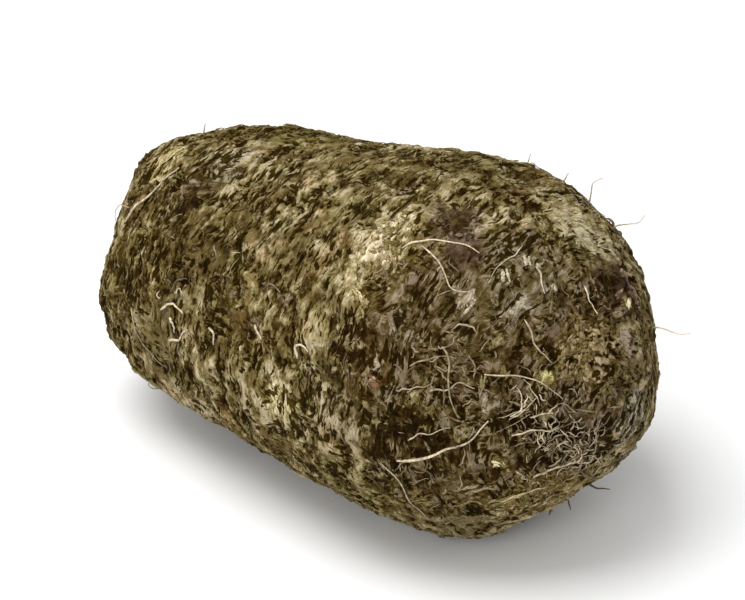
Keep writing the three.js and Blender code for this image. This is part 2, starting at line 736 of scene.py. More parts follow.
    @staticmethod
    def stretch(size: Size) -> tuple[float, float, float]:
        """Gives the scale that makes a pattern's spots this long along and around the tuber."""
        along, around = size
        return (1.0 / along, 1.0 / around, 1.0 / around)

    def spots(self, bench: Bench, place: Feed, size: Size, detail: float) -> Socket:
        """Adds a noise whose spots have this size, with values mostly from -1 to 1."""
        return bench.clouds(bench.scaled(place, *self.stretch(size)), detail)

    def below(self, bench: Bench, value: Feed, edge: Span) -> Socket:
        """Goes from 0 to 1 as a value falls from an edge's start to where it is full."""
        return bench.step(value, edge[1], edge[0], 1.0, 0.0)

    def drift(self, bench: Bench, grain: Feed) -> Socket:
        """Makes the rows of cork wander and swirl, as growth leaves them.

        Args:
            bench: Where the nodes go.
            grain: The grain place.

        Returns:
            The shifted place.
        """
        place = grain
        for size, reach in self.wanders:
            place = bench.frayed(place, bench.scaled(grain, 1.0 / size), 1.0, reach)
        return place

    def turned(self, bench: Bench, place: Feed, size: Size, detail: float, way: Feed) -> Socket:
        """Adds a streaky noise whose streaks run around the tuber, or lengthways where way is 1.

        Args:
            bench: Where the nodes go.
            place: The wandering place.
            size: The streaks' width and length, in mm.
            detail: How many finer layers the noise has.
            way: Which way it runs.

        Returns:
            Its value, mostly from -1 to 1.
        """
        around = self.spots(bench, place, size, detail)
        lengthways = self.spots(bench, place, size[::-1], detail)
        return bench.mix(way, around, lengthways)

    def level(self, bench: Bench, place: Feed, marks: Marks) -> Socket:
        """Works out how much cork there is.

        Args:
            bench: Where the nodes go.
            place: The wandering place.
            marks: The broad and named features there.

        Returns:
            The level: 0 at the cork's edge, and 1 or 2 where it is thick.
        """
        chips = self.spots(bench, place, self.chip, 4.0)
        crumbs = self.spots(bench, place, self.crumb, 2.0)
        level = bench.weighted(crumbs, self.crumb_weight, bench.times(chips, self.chip_weight))
        level = bench.times(level, bench.weighted(marks.rough, 0.6, 0.55))
        return bench.plus(level, marks.growth)

    def wear(self, bench: Bench, spot: Feed, clump: Feed, surface: Surface) -> tuple[Socket, Feed]:
        """Works out how much cork has come away again, and where the bark is calm.

        Args:
            bench: Where the nodes go.
            spot: The place in the piece's own frame.
            clump: Makes the patches' outlines ragged.
            surface: The smooth tuber.

        Returns:
            The level that is lost, and the calm.
        """
        ragged = bench.times(clump, self.peeled_fray)
        reach = bench.plus(bench.vector("DISTANCE", spot, self.peeled_centre), ragged)
        inner, outer = self.peeled_radius - self.peeled_fade, self.peeled_radius + self.peeled_fade
        loss = bench.step(reach, inner, outer, self.peeled_loss, 0.0)
        calm: Feed = 0.0
        for patch in self.patches:
            away = bench.plus(bench.away(spot, surface, patch), bench.times(clump, self.patch_fray))
            share = bench.step(away, patch.radius * 0.55, patch.radius * 1.35, 1.0, 0.0)
            loss = bench.weighted(share, patch.loss, loss)
            calm = bench.weighted(share, patch.calm, calm)
        return loss, calm

    def frayed(self, bench: Bench, spot: Feed, reach: float) -> Socket:
        """Shifts a place by a few millimetres, for the outlines of knots and gashes."""
        return bench.frayed(spot, bench.scaled(spot, self.fray_scale), 2.0, reach)

    def gash_depth(self, bench: Bench, spot: Feed, surface: Surface) -> Socket:
        """Cuts the deep cracks.

        Args:
            bench: Where the nodes go.
            spot: The place in the piece's own frame.
            surface: The smooth tuber.

        Returns:
            The depth in mm.
        """
        place = self.frayed(bench, spot, 4.0)
        total: Feed = 0.0
        for gash in self.gashes:
            start, end = (surface.at(*side)[0] / MM for side in (gash.start, gash.end))
            reach = bench.line_reach(place, start, end, gash.half_width)
            depth = bench.times(self.below(bench, reach, self.gash_edge), gash.depth)
            total = bench.most(total, depth)
        return total

    def slits(self, bench: Bench, place: Feed, marks: Marks) -> Socket:
        """Cracks the bark: short slits, and long thin cracks that come and go.

        Args:
            bench: Where the nodes go.
            place: The wandering place.
            marks: The broad and named features there.

        Returns:
            How deep in a crack each place is.
        """
        short = self.turned(bench, place, self.slit, 1.5, marks.way)
        slit = self.below(bench, bench.plus(short, marks.calm), self.slit_edge)
        long = self.turned(bench, place, self.crack, 2.0, marks.way)
        crack = self.below(bench, bench.math("ABSOLUTE", long), self.crack_edge)
        comes = bench.clouds(bench.scaled(place, 0.22, 0.3, 0.3), 1.0)
        comes = bench.step(comes, *self.crack_break)
        return bench.most(slit, bench.times(crack, comes))

    def wrinkles(self, bench: Bench, place: Feed, way: Feed) -> Socket:
        """Wrinkles the bare skin: lengthways in some places, and around the tuber in others.

        Args:
            bench: Where the nodes go.
            place: The wandering place.
            way: Which way they run.

        Returns:
            1 along each ridge and 0 elsewhere.
        """
        shares: tuple[Feed, ...] = (way, bench.minus(1.0, way), 1.0)
        total: Feed = 0.0
        for turn, (size, share) in enumerate(zip(self.wrinkle_nets, shares)):
            net = bench.scaled(place, *self.stretch(size))
            net = bench.vector("ADD", net, (self.wrinkle_shift * turn, 0.0, 0.0))
            line = bench.math("ABSOLUTE", bench.clouds(net, 1.0))
            line = self.below(bench, line, self.wrinkle_edge)
            broken = bench.clouds(bench.scaled(net, 0.7), 1.0)
            broken = bench.step(broken, *self.wrinkle_break)
            total = bench.most(total, bench.times(bench.times(line, broken), share))
        return total

    def scars(self, bench: Bench, grain: Feed) -> tuple[Socket, Socket]:
        """Dots the skin with the scars of lost rootlets: a pit in a raised rim.

        Args:
            bench: Where the nodes go.
            grain: The grain place.

        Returns:
            How much each place is in a pit, and on a rim.
        """
        place = bench.scaled(grain, self.scar_fray_scale)
        place = bench.frayed(grain, place, 1.0, self.scar_fray)
        distance, colour = bench.cells(bench.scaled(place, 1.0 / self.scar_spacing))
        chance, size, _ = bench.parts(colour)
        reach = bench.math("DIVIDE", bench.times(distance, self.scar_spacing), self.scar_radius)
        reach = bench.math("DIVIDE", reach, bench.plus(size, 0.6))
        there = bench.math("LESS_THAN", chance, self.scar_chance)
        pit = bench.times(bench.step(reach, 0.5, 1.0, 1.0, 0.0), there)
        disc = bench.times(bench.step(reach, 1.3, 2.1, 1.0, 0.0), there)
        return pit, bench.minus(disc, pit)

    def ring_height(self, bench: Bench, grain: Feed, place: Feed) -> Socket:
        """Adds the growth rings that run part of the way around.

        Args:
            bench: Where the nodes go.
            grain: The grain place.
            place: The wandering place.

        Returns:
            The height that they add, in mm.
        """
        along = bench.parts(place)[0]
        partial = bench.noise(bench.scaled(grain, self.ring_scale), 1.0)[0]
        partial = bench.step(partial, 0.4, 0.6, 0.3, 1.0)
        total: Feed = 0.0
        for ring in self.rings:
            off = bench.math("DIVIDE", bench.minus(along, ring.along), ring.width)
            bell = bench.math("EXPONENT", bench.times(bench.times(off, off), -1.0))
            total = bench.weighted(bell, -ring.depth, total)
        return bench.times(total, partial)


@dataclass(frozen=True)
class Blush:
    """A patch of another colour on the bark, at a place along and around the tuber."""

    name: str
    along: float
    around: float
    radius: float
    cork: Rgb
    skin: Rgb
    strength: float = 0.9


@dataclass(frozen=True)
class BarkHues:
    """The bark's colours by place, shared by the skin and the flakes lifted from it.

    An edge is where a colour starts and where it is full.
    """

    cork_pale: Rgb = (0.37, 0.288, 0.118)
    cork: Rgb = (0.18, 0.142, 0.058)
    cork_dark: Rgb = (0.06, 0.043, 0.018)
    cork_stain: Rgb = (0.09, 0.063, 0.03)
    skin: Rgb = (0.07, 0.049, 0.026)
    skin_pale: Rgb = (0.165, 0.125, 0.067)
    skin_dark: Rgb = (0.02, 0.012, 0.0065)
    tan: Rgb = (1.0, 0.9, 0.9)
    plum: Rgb = (0.9, 0.78, 0.95)
    cork_edge: Span = (-0.2, 1.1)
    cork_pale_edge: Span = (1.4, 3.3)
    stain_edge: Span = (0.3, 1.5)
    tan_edge: Span = (0.2, 1.3)
    skin_edge: Span = (-0.9, 0.4)
    skin_pale_edge: Span = (0.3, 1.3)
    plum_edge: Span = (0.3, 1.3)
    most_stain: float = 0.75
    most_tan: float = 0.8
    most_plum: float = 0.7
    cork_shades: Span = (0.35, 1.3)
    skin_shades: Span = (0.1, 0.68)
    blush_fray: float = 0.3
    most_fray: float = 1.4
    blushes: tuple[Blush, ...] = (
        Blush("cream patch", 32, 122, 9.0, (0.53, 0.392, 0.148), (0.35, 0.252, 0.105), 0.85),
        Blush("cream crumbs", 33, 137, 6.0, (0.56, 0.418, 0.155), (0.21, 0.15, 0.066), 0.7),
        Blush("yellow patch", 25, 155, 3.8, (0.27, 0.205, 0.08), (0.165, 0.117, 0.047), 0.8),
        Blush("pale heel", 12, 181, 6.5, (0.52, 0.4, 0.14), (0.3, 0.22, 0.088), 0.8),
        # Painted shade: the olive heel, on the lower side, is darkened as the shade that falls there.
        Blush("olive heel", 32, 214, 13.0, (0.105, 0.084, 0.035), (0.05, 0.037, 0.016), 0.75),
        Blush("khaki margin", 38, 182, 8.0, (0.21, 0.162, 0.074), (0.115, 0.083, 0.041), 0.75),
        Blush("tan margin", 46, 147, 6.5, (0.27, 0.205, 0.112), (0.15, 0.11, 0.06), 0.75),
        Blush("dull heel", -39, 185, 11.0, (0.092, 0.071, 0.032), (0.044, 0.032, 0.015), 0.85),
        Blush("brown middle", 2, 136, 7.0, (0.073, 0.054, 0.026), (0.037, 0.026, 0.013), 0.75),
        Blush("khaki keel", 58, 228, 12.0, (0.108, 0.086, 0.042), (0.056, 0.041, 0.02), 0.8),
        Blush("amber keel", 73, 232, 11.0, (0.44, 0.322, 0.12), (0.27, 0.19, 0.078), 0.8),
        Blush("rust spot", 44, 164, 2.2, (0.28, 0.162, 0.08), (0.27, 0.14, 0.072), 0.85),
        Blush("mossy cheek", 61, 71, 12.0, (0.33, 0.262, 0.103), (0.19, 0.147, 0.06), 0.85),
        Blush("plum cheek", 72, 60, 8.5, (0.115, 0.076, 0.053), (0.065, 0.041, 0.033), 0.95),
        Blush("plum shoulder", 42, 107, 7.0, (0.19, 0.135, 0.085), (0.12, 0.083, 0.057), 0.8),
        Blush("plum flank", 50, 116, 6.0, (0.15, 0.105, 0.07), (0.095, 0.062, 0.049), 0.8),
        Blush("dark flank", 51, 180, 6.5, (0.065, 0.043, 0.025), (0.026, 0.016, 0.012), 0.85),
        Blush("dark hollow", 73, 172, 4.5, (0.08, 0.055, 0.03), (0.026, 0.015, 0.009), 0.85),
        Blush("dark tuft", 79, 188, 9.0, (0.075, 0.048, 0.031), (0.026, 0.0155, 0.0105), 0.9),
        Blush("dark nook", 31, 166, 4.0, (0.05, 0.037, 0.022), (0.02, 0.014, 0.011), 0.85),
        Blush("tan lump", 44, 157, 3.5, (0.4, 0.292, 0.142), (0.26, 0.182, 0.095), 0.8),
        Blush("low shade", 50, 200, 4.0, (0.08, 0.058, 0.032), (0.034, 0.023, 0.014), 0.8),
        Blush("low tan", 64, 205, 5.0, (0.3, 0.225, 0.104), (0.21, 0.153, 0.076), 0.7),
        Blush("dull hooks", -33, 169, 5.5, (0.088, 0.068, 0.033), (0.044, 0.032, 0.017), 0.85),
        Blush("pale rim", 80, 38, 3.0, (0.36, 0.285, 0.14), (0.26, 0.2, 0.1), 0.8),
        Blush("brown lump", 70, 160, 3.6, (0.22, 0.165, 0.088), (0.17, 0.125, 0.068), 0.8),
        Blush("plum tip", 80, 148, 5.0, (0.21, 0.152, 0.105), (0.125, 0.087, 0.063), 0.8),
        Blush("golden tip", 79, 98, 9.5, (0.35, 0.246, 0.097), (0.2, 0.134, 0.058), 0.85),
        Blush("yellow fleck", 76, 139, 2.0, (0.78, 0.63, 0.2), (0.7, 0.55, 0.17), 1.0),
        Blush("cream lump", 71, 193, 2.0, (0.57, 0.44, 0.16), (0.5, 0.385, 0.14), 1.0),
        Blush("cream dot", 74, 55, 2.0, (0.57, 0.44, 0.15), (0.5, 0.385, 0.13), 1.0),
        Blush("tan plate", 79, 52, 4.0, (0.24, 0.178, 0.09), (0.18, 0.131, 0.068), 0.85),
        Blush("tan rim", 80, 22, 5.5, (0.08, 0.058, 0.029), (0.053, 0.038, 0.02), 0.8),
        Blush("grey rim", 81, 325, 7.0, (0.35, 0.295, 0.2), (0.22, 0.18, 0.122), 0.8),
        Blush("pale flank", 62, 105, 10.0, (0.42, 0.335, 0.165), (0.33, 0.257, 0.13), 0.8),
        Blush("grey bloom", 66, 118, 3.0, (0.68, 0.57, 0.33), (0.66, 0.55, 0.32), 1.0),
        Blush("tan net", 57, 126, 7.5, (0.36, 0.28, 0.138), (0.24, 0.182, 0.094), 0.7),
        Blush("brown net", 60, 150, 7.0, (0.22, 0.172, 0.09), (0.115, 0.084, 0.046), 0.5),
        # Painted shade: the olive band and olive ridge, along the top edge, are darkened as the shade
        # that falls there.
        Blush("olive band", -36, 78, 14.0, (0.082, 0.065, 0.026), (0.042, 0.03, 0.014), 0.8),
        Blush("olive ridge", 28, 80, 13.0, (0.1, 0.08, 0.036), (0.06, 0.043, 0.021), 0.7),
        Blush("brown crown", -32, 149, 11.0, (0.078, 0.056, 0.027), (0.032, 0.022, 0.012), 0.85),
        Blush("brown valley", -22, 147, 6.5, (0.057, 0.042, 0.021), (0.026, 0.018, 0.01), 0.8),
        Blush("brown stain", -15, 119, 5.5, (0.045, 0.033, 0.018), (0.021, 0.0145, 0.0085), 0.7),
        Blush("glinting hollow", -43, 126, 6.0, (0.155, 0.11, 0.064), (0.042, 0.027, 0.016), 0.85),
        Blush("pale crown", -39, 110, 6.0, (0.21, 0.168, 0.086), (0.1, 0.074, 0.041), 0.7),
        Blush("yellow crown", -62, 114, 6.5, (0.43, 0.325, 0.11), (0.2, 0.146, 0.055), 0.8),
    )

    def group(self, surface: Surface) -> NodeTree:
        """Makes the node group of colours.

        Args:
            surface: The tuber, where the patches are placed.

        Returns:
            The group. Its inputs are Place and Grain in mm, and Level, the cork's thickness.
        """
        tree = bpy.data.node_groups.new("bark hues", "ShaderNodeTree")
        for name, side, kind in (
            ("Place", "INPUT", "NodeSocketVector"),
            ("Grain", "INPUT", "NodeSocketVector"),
            ("Level", "INPUT", "NodeSocketFloat"),
            ("Cork", "OUTPUT", "NodeSocketColor"),
            ("Skin", "OUTPUT", "NodeSocketColor"),
        ):
            tree.interface.new_socket(name, in_out=side, socket_type=kind)
        bench = Bench(tree)
        source = bench.add("NodeGroupInput")
        place, grain, thick = source.outputs[0], source.outputs[1], source.outputs[2]
        broad = bench.clouds(bench.scaled(grain, 0.045), 2.0)
        warmth = bench.clouds(bench.scaled(place, 0.12), 3.0)
        mottle = bench.clouds(bench.scaled(grain, 0.55, 0.3, 0.3), 4.0)
        level = bench.weighted(mottle, 0.45, thick)
        level = bench.weighted(broad, 0.45, level)
        cork = self.cork_colour(bench, place, level, warmth)
        stain = bench.clouds(bench.scaled(place, 0.2), 2.5)
        stain = bench.weighted(stain, 0.85, bench.times(mottle, 0.35))
        skin = self.skin_colour(bench, stain, warmth)
        ragged = bench.clouds(bench.scaled(place, 0.28), 4.0)
        shade = bench.step(level, -0.6, 2.4, *self.cork_shades)
        tinted: Feed = 0.0
        for blush in self.blushes:
            fray = min(self.most_fray, self.blush_fray * blush.radius)
            reach = bench.weighted(ragged, fray, bench.away(place, surface, blush))
            full, none = blush.radius * 0.5, blush.radius * 1.35
            share = bench.step(reach, full, none, blush.strength, 0.0)
            cork = bench.blend(share, cork, blush.cork)
            skin = bench.blend(share, skin, blush.skin)
            tinted = bench.most(tinted, share)
        shade = bench.mix(tinted, 1.0, shade)
        patina = bench.mix(tinted, 1.0, bench.step(stain, -0.9, 1.1, *self.skin_shades))
        bench.add("NodeGroupOutput", bench.scaled(cork, shade), bench.scaled(skin, patina))
        return tree

    def cork_colour(self, bench: Bench, place: Feed, level: Feed, warmth: Feed) -> Socket:
        """Colours the cork, away from any named patch.

        Args:
            bench: Where the nodes go.
            place: The place in mm.
            level: How thick the cork is, with a mottling added.
            warmth: A broad noise that says where the bark is warmer.

        Returns:
            The colour.
        """
        cork = bench.blend(bench.step(level, *self.cork_edge), self.cork_dark, self.cork)
        cork = bench.blend(bench.step(level, *self.cork_pale_edge), cork, self.cork_pale)
        stained = bench.vector("ADD", bench.scaled(place, 0.13), (3.0, 7.0, 1.0))
        stained = bench.step(bench.clouds(stained, 3.0), *self.stain_edge, 0.0, self.most_stain)
        cork = bench.blend(stained, cork, self.cork_stain)
        warm = bench.times(bench.step(warmth, *self.tan_edge), self.most_tan)
        return bench.blend(warm, cork, bench.blend(1.0, cork, self.tan, "MULTIPLY"))

    def skin_colour(self, bench: Bench, stain: Feed, warmth: Feed) -> Socket:
        """Colours the bare skin, away from any named patch.

        Args:
            bench: Where the nodes go.
            stain: A noise that says how pale the skin is.
            warmth: A broad noise that says where the skin is more plum.

        Returns:
            The colour.
        """
        skin = bench.blend(bench.step(stain, *self.skin_edge), self.skin_dark, self.skin)
        skin = bench.blend(bench.step(stain, *self.skin_pale_edge), skin, self.skin_pale)
        warm = bench.times(bench.step(warmth, *self.plum_edge), self.most_plum)
        return bench.blend(warm, skin, bench.blend(1.0, skin, self.plum, "MULTIPLY"))


@dataclass(frozen=True)
class BarkFinish:
    """The bark's finish: cork over darker skin, with near-black painted shade in its cracks, slits,
    pits, holes and gashes.
    """

    # The crack colour is painted shade: near-black, laid where shade falls in the bark's cracks and
    # hollows and under the cork's edges.
    crack: Rgb = (0.009, 0.0055, 0.002)
    scar_rim: Rgb = (0.38, 0.295, 0.12)
    wrinkle: Rgb = (0.3, 0.232, 0.105)
    most_rim: float = 0.5
    most_crack: float = 0.92
    streaks: Span = (0.75, 1.27)
    ridges: Span = (0.4, 0.9)
    relief_strength: float = 1.0
    cork_roughness: float = 0.9
    skin_roughness: float = 0.7
    specular: float = 0.03

    def make(self, pattern: BarkPattern, hues: NodeTree) -> Material:
        """Makes the material.

        Args:
            pattern: The bark's pattern.
            hues: The group of bark colours.

        Returns:
            The material.
        """
        material, bench, shader = new_material("yam bark")
        grain = bench.attribute(GRAIN).outputs["Vector"]
        marks = Marks(*(bench.attribute(name).outputs["Fac"] for name in MARKS))
        relief = pattern.wire(bench, grain, marks)
        cork, skin = bench.hues(hues, grain, relief.level)
        colour = bench.blend(relief.cover, skin, cork)
        colour = bench.scaled(colour, bench.step(relief.fibre, -1.8, 1.8, *self.streaks))
        ridge = bench.times(relief.wrinkle, bench.step(relief.fibre, -1.5, 1.0, *self.ridges))
        colour = bench.blend(ridge, colour, self.wrinkle)
        colour = bench.blend(bench.times(relief.scar_rim, self.most_rim), colour, self.scar_rim)
        # Painted shade: the near-black crack colour goes where the dark mask says shade falls.
        colour = bench.blend(bench.times(relief.dark, self.most_crack), colour, self.crack)
        bench.join(shader, {"Base Color": bench.soiled(colour)})
        rougher = self.cork_roughness - self.skin_roughness
        rough = bench.weighted(relief.cover, rougher, self.skin_roughness)
        bench.join(shader, {"Roughness": rough, "Specular IOR Level": self.specular})
        bench.bump(shader, relief.height, self.relief_strength)
        return material


@dataclass(frozen=True)
class FlakeFinish:
    """The finish of the lifted flakes: the bark's colours, each flake of its own shade."""

    shades: Span = (0.5, 1.25)
    streaks: Span = (0.6, 1.3)
    skin_gain: float = 1.3
    roughness: float = 0.9
    specular: float = 0.03
    relief: float = 0.2
    relief_strength: float = 0.5

    def make(self, hues: NodeTree) -> Material:
        """Makes the material.

        Args:
            hues: The group of bark colours.

        Returns:
            The material.
        """
        material, bench, shader = new_material("yam flake")
        grain = bench.attribute(GRAIN).outputs["Vector"]
        tint = bench.attribute(TINT).outputs["Fac"]
        thick = bench.attribute(LEVEL).outputs["Fac"]
        cork, skin = bench.hues(hues, grain, bench.weighted(tint, 1.6, -0.2))
        colour = bench.blend(bench.step(thick, -0.9, 0.2), bench.scaled(skin, self.skin_gain), cork)
        streak = bench.noise(bench.scaled(bench.object_place(), 2.2), 2.0, 0.6)[0]
        shade = bench.step(tint, 0.0, 1.0, *self.shades)
        shade = bench.times(shade, bench.step(streak, 0.3, 0.7, *self.streaks))
        bench.join(shader, {"Base Color": bench.soiled(bench.scaled(colour, shade))})
        bench.join(shader, {"Roughness": self.roughness, "Specular IOR Level": self.specular})
        bench.bump(shader, bench.times(streak, self.relief), self.relief_strength)
        return material


@dataclass(frozen=True)
class RootletFinish:
    """The finish of the rootlets: dry, each from dark through brown to pale by its tint."""

    pale: Rgb = (0.6, 0.5, 0.34)
    brown: Rgb = (0.2, 0.145, 0.08)
    dark: Rgb = (0.045, 0.03, 0.015)
    mottles: Span = (0.55, 1.3)
    roughness: float = 0.7
    specular: float = 0.15
    relief: float = 0.15
    relief_strength: float = 0.5

    def make(self) -> Material:
        """Makes the material.

        Returns:
            The material.
        """
        material, bench, shader = new_material("yam rootlet")
        tint = bench.attribute(TINT).outputs["Fac"]
        place = bench.object_place()
        mottle = bench.noise(bench.scaled(place, 0.9), 3.0, 0.65)[0]
        colour = bench.blend(bench.step(tint, 0.0, 0.35), self.dark, self.brown)
        colour = bench.blend(bench.step(tint, 0.3, 0.95), colour, self.pale)
        colour = bench.scaled(colour, bench.step(mottle, 0.3, 0.7, *self.mottles))
        bench.join(shader, {"Base Color": colour})
        bench.join(shader, {"Roughness": self.roughness, "Specular IOR Level": self.specular})
        pitted = bench.noise(bench.scaled(place, 3.5), 2.0)[0]
        bench.bump(shader, bench.times(pitted, self.relief), self.relief_strength)
        return material


def new_material(name: str) -> tuple[Material, Bench, Node]:
    """Starts a material.

    Args:
        name: Its name.

    Returns:
        The material, a bench for its nodes, and its shader.
    """
    material = bpy.data.materials.new(name)
    material.use_nodes = True
    return material, Bench(material.node_tree), material.node_tree.nodes["Principled BSDF"]


def select_only(piece: Piece) -> None:
    """Selects one object and makes it active.

    Args:
        piece: The object.
    """
    bpy.ops.object.select_all(action="DESELECT")
    piece.select_set(True)
    bpy.context.view_layer.objects.active = piece


def apply_modifier(piece: Piece, modifier: bpy.types.Modifier) -> None:
    """Applies a modifier to its mesh."""
    select_only(piece)
    bpy.ops.object.modifier_apply(modifier=modifier.name)


@dataclass(frozen=True)
class Ground:
    """The finished skin's points, as numbers, for things that grow on it. Metres."""

    places: Array
    normals: Array
    grain: Array
    level: Array
    way: Array


def read_points(piece: Piece) -> Array:
    """Reads a mesh's points.

    Args:
        piece: The mesh object.

    Returns:
        One row per point, in metres.
    """
    places = np.empty(len(piece.data.vertices) * 3)
    piece.data.vertices.foreach_get("co", places)
    return places.reshape(-1, 3)


def unit(vectors: Array) -> Array:
    """Scales each row to a length of one."""
    return vectors / np.maximum(np.linalg.norm(vectors, axis=-1, keepdims=True), 1e-12)


@dataclass
class Surface:
    """The skin, as a surface that things are placed on."""

    skin: Piece
    crown_axis: float = 38.8 * MM
    tip_axis: float = 46.5 * MM
    core_half: float = 38.5 * MM

    def __post_init__(self) -> None:
        """Builds the search tree."""
        self.tree = BVHTree.FromObject(self.skin, bpy.context.evaluated_depsgraph_get())

    def at(self, along: float, around: float) -> tuple[Vector, Vector]:
        """Finds a point on the skin.

        Args:
            along: Its place along the tuber from the middle, in mm.
            around: Its angle about the long axis in degrees, from +Y towards +Z.

        Returns:
            The point, and the outward direction there.
        """
        share = min(max(along * MM / (2 * self.core_half) + 0.5, 0.0), 1.0)
        axis = Vector((along * MM, 0, self.crown_axis + (self.tip_axis - self.crown_axis) * share))
        turn = math.radians(around)
        place, normal, _, _ = self.tree.ray_cast(axis, Vector((0, math.cos(turn), math.sin(turn))))
        return place, normal

    def nearest(self, place: Vector) -> Vector:
        """Finds the skin's nearest point to a place."""
        return self.tree.find_nearest(place)[0]


@dataclass
class Skin:
    """The tuber's body and bark."""

    voxel: float = 0.83 * MM
    smoothing: int = 6
    pattern: BarkPattern = BarkPattern()

    def build(self, node: Piece) -> Piece:
        """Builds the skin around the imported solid.

        Args:
            node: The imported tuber.

        Returns:
            The finished piece.
        """
        piece = self.rounded_copy(node)
        self.unwrap(piece)
        self.lay_grain(piece)
        self.smooth_surface = Surface(piece)
        normals = np.empty(len(piece.data.vertices) * 3)
        piece.data.vertices.foreach_get("normal", normals)
        self.shape(piece)
        self.seat(piece)
        self.ground = self.read_ground(piece, normals.reshape(-1, 3))
        piece.data.materials.clear()
        select_only(piece)
        bpy.ops.object.shade_smooth()
        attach(piece, BODY)
        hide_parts(NODE)
        return piece

    def rounded_copy(self, node: Piece) -> Piece:
        """Copies the faceted solid and rounds it into fine, even faces.

        Args:
            node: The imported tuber.

        Returns:
            The rounded copy.
        """
        select_only(node)
        bpy.ops.object.duplicate()
        piece = bpy.context.active_object
        piece.name = "yam_skin"
        piece.data.name = "yam_skin"
        piece.parent = None
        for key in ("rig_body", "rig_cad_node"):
            if key in piece:
                del piece[key]
        select_only(piece)
        bpy.ops.object.mode_set(mode="EDIT")
        bpy.ops.mesh.select_all(action="SELECT")
        bpy.ops.mesh.remove_doubles(threshold=0.01 * MM)
        bpy.ops.object.mode_set(mode="OBJECT")
        rounding = piece.modifiers.new("rounding", "SUBSURF")
        rounding.levels = 2
        rounding.render_levels = 2
        apply_modifier(piece, rounding)
        even = piece.modifiers.new("even faces", "REMESH")
        even.mode = "VOXEL"
        even.voxel_size = self.voxel
        apply_modifier(piece, even)
        smooth = piece.modifiers.new("smooth", "SMOOTH")
        smooth.iterations = self.smoothing
        apply_modifier(piece, smooth)
        return piece

    def unwrap(self, piece: Piece) -> None:
        """Gives the smooth skin its own flat map, before it is roughened.

        Args:
            piece: The skin.
        """
        select_only(piece)
        piece.data.uv_layers.new(name="OFBake")
        bpy.ops.object.mode_set(mode="EDIT")
        bpy.ops.mesh.select_all(action="SELECT")
        bpy.ops.uv.smart_project(angle_limit=math.radians(60), island_margin=0.004)
        bpy.ops.object.mode_set(mode="OBJECT")

    def lay_grain(self, piece: Piece) -> None:
        """Stores each point's grain place: mm along the skin from the middle, then Y and Z.

        Args:
            piece: The skin.
        """
        places = read_points(piece) / MM
        half = np.abs(places[:, 0]).max()
        girth = places[:, 2].max() / 2
        stations = np.linspace(-0.999, 0.999, 400)
        profile = girth * np.sqrt(1 - stations**2)
        steps = np.hypot(np.diff(stations * half), np.diff(profile))
        lengths = np.concatenate(([0.0], np.cumsum(steps)))
        lengths -= lengths[-1] / 2
        places[:, 0] = np.interp(places[:, 0] / half, stations, lengths)
        attribute = piece.data.attributes.new(GRAIN, "FLOAT_VECTOR", "POINT")
        attribute.data.foreach_set("vector", places.ravel())

    def shape(self, piece: Piece) -> None:
        """Raises and cracks the bark by its pattern, and stores how much cork covers it.

        Args:
            piece: The skin.
        """
        tree = bpy.data.node_groups.new("bark relief", "GeometryNodeTree")
        tree.interface.new_socket("Geometry", in_out="INPUT", socket_type="NodeSocketGeometry")
        tree.interface.new_socket("Geometry", in_out="OUTPUT", socket_type="NodeSocketGeometry")
        bench = Bench(tree)
        read = bench.add("GeometryNodeInputNamedAttribute", GRAIN, data_type="FLOAT_VECTOR")
        grain = read.outputs["Attribute"]
        spot = bench.scaled(bench.add("GeometryNodeInputPosition").outputs[0], 1.0 / MM)
        marks = self.pattern.marks(bench, grain, spot, self.smooth_surface)
        relief = self.pattern.wire(bench, grain, marks)
        geometry = bench.add("NodeGroupInput").outputs[0]
        values = {LEVEL: relief.level} | {name: getattr(marks, name) for name in MARKS}
        for name, value in values.items():
            store = bench.add("GeometryNodeStoreNamedAttribute", data_type="FLOAT", domain="POINT")
            bench.join(store, {"Name": name, "Geometry": geometry, "Value": value})
            geometry = store.outputs[0]
        height = bench.plus(relief.height, self.pattern.broad_height(bench, grain, marks))
        move = bench.add("GeometryNodeSetPosition")
        normal = bench.add("GeometryNodeInputNormal").outputs[0]
        offset = bench.scaled(normal, bench.times(height, MM))
        bench.join(move, {"Geometry": geometry, "Offset": offset})
        bench.add("NodeGroupOutput", move.outputs[0])
        modifier = piece.modifiers.new("relief", "NODES")
        modifier.node_group = tree
        apply_modifier(piece, modifier)

    def seat(self, piece: Piece) -> None:
        """Keeps the underside on the ground, where the tuber rests.

        Args:
            piece: The skin.
        """
        places = read_points(piece)
        places[:, 2] = np.maximum(places[:, 2], 0.0)
        piece.data.vertices.foreach_set("co", places.ravel())
        piece.data.update()

    def read_ground(self, piece: Piece, normals: Array) -> Ground:
        """Reads the finished skin as numbers.

        Args:
            piece: The skin.
            normals: The outward directions from before it was roughened.

        Returns:
            The ground that flakes and rootlets grow on.
        """
        count = len(piece.data.vertices)
        grain = np.empty(count * 3)
        piece.data.attributes[GRAIN].data.foreach_get("vector", grain)
        level, way = np.empty(count), np.empty(count)
        piece.data.attributes[LEVEL].data.foreach_get("value", level)
        piece.data.attributes["way"].data.foreach_get("value", way)
        return Ground(read_points(piece), normals, grain.reshape(-1, 3), level, way)


@dataclass(frozen=True)
class Pattern:
    """A small shape that is copied many times: its points and its triangles."""

    points: Array
    triangles: Array


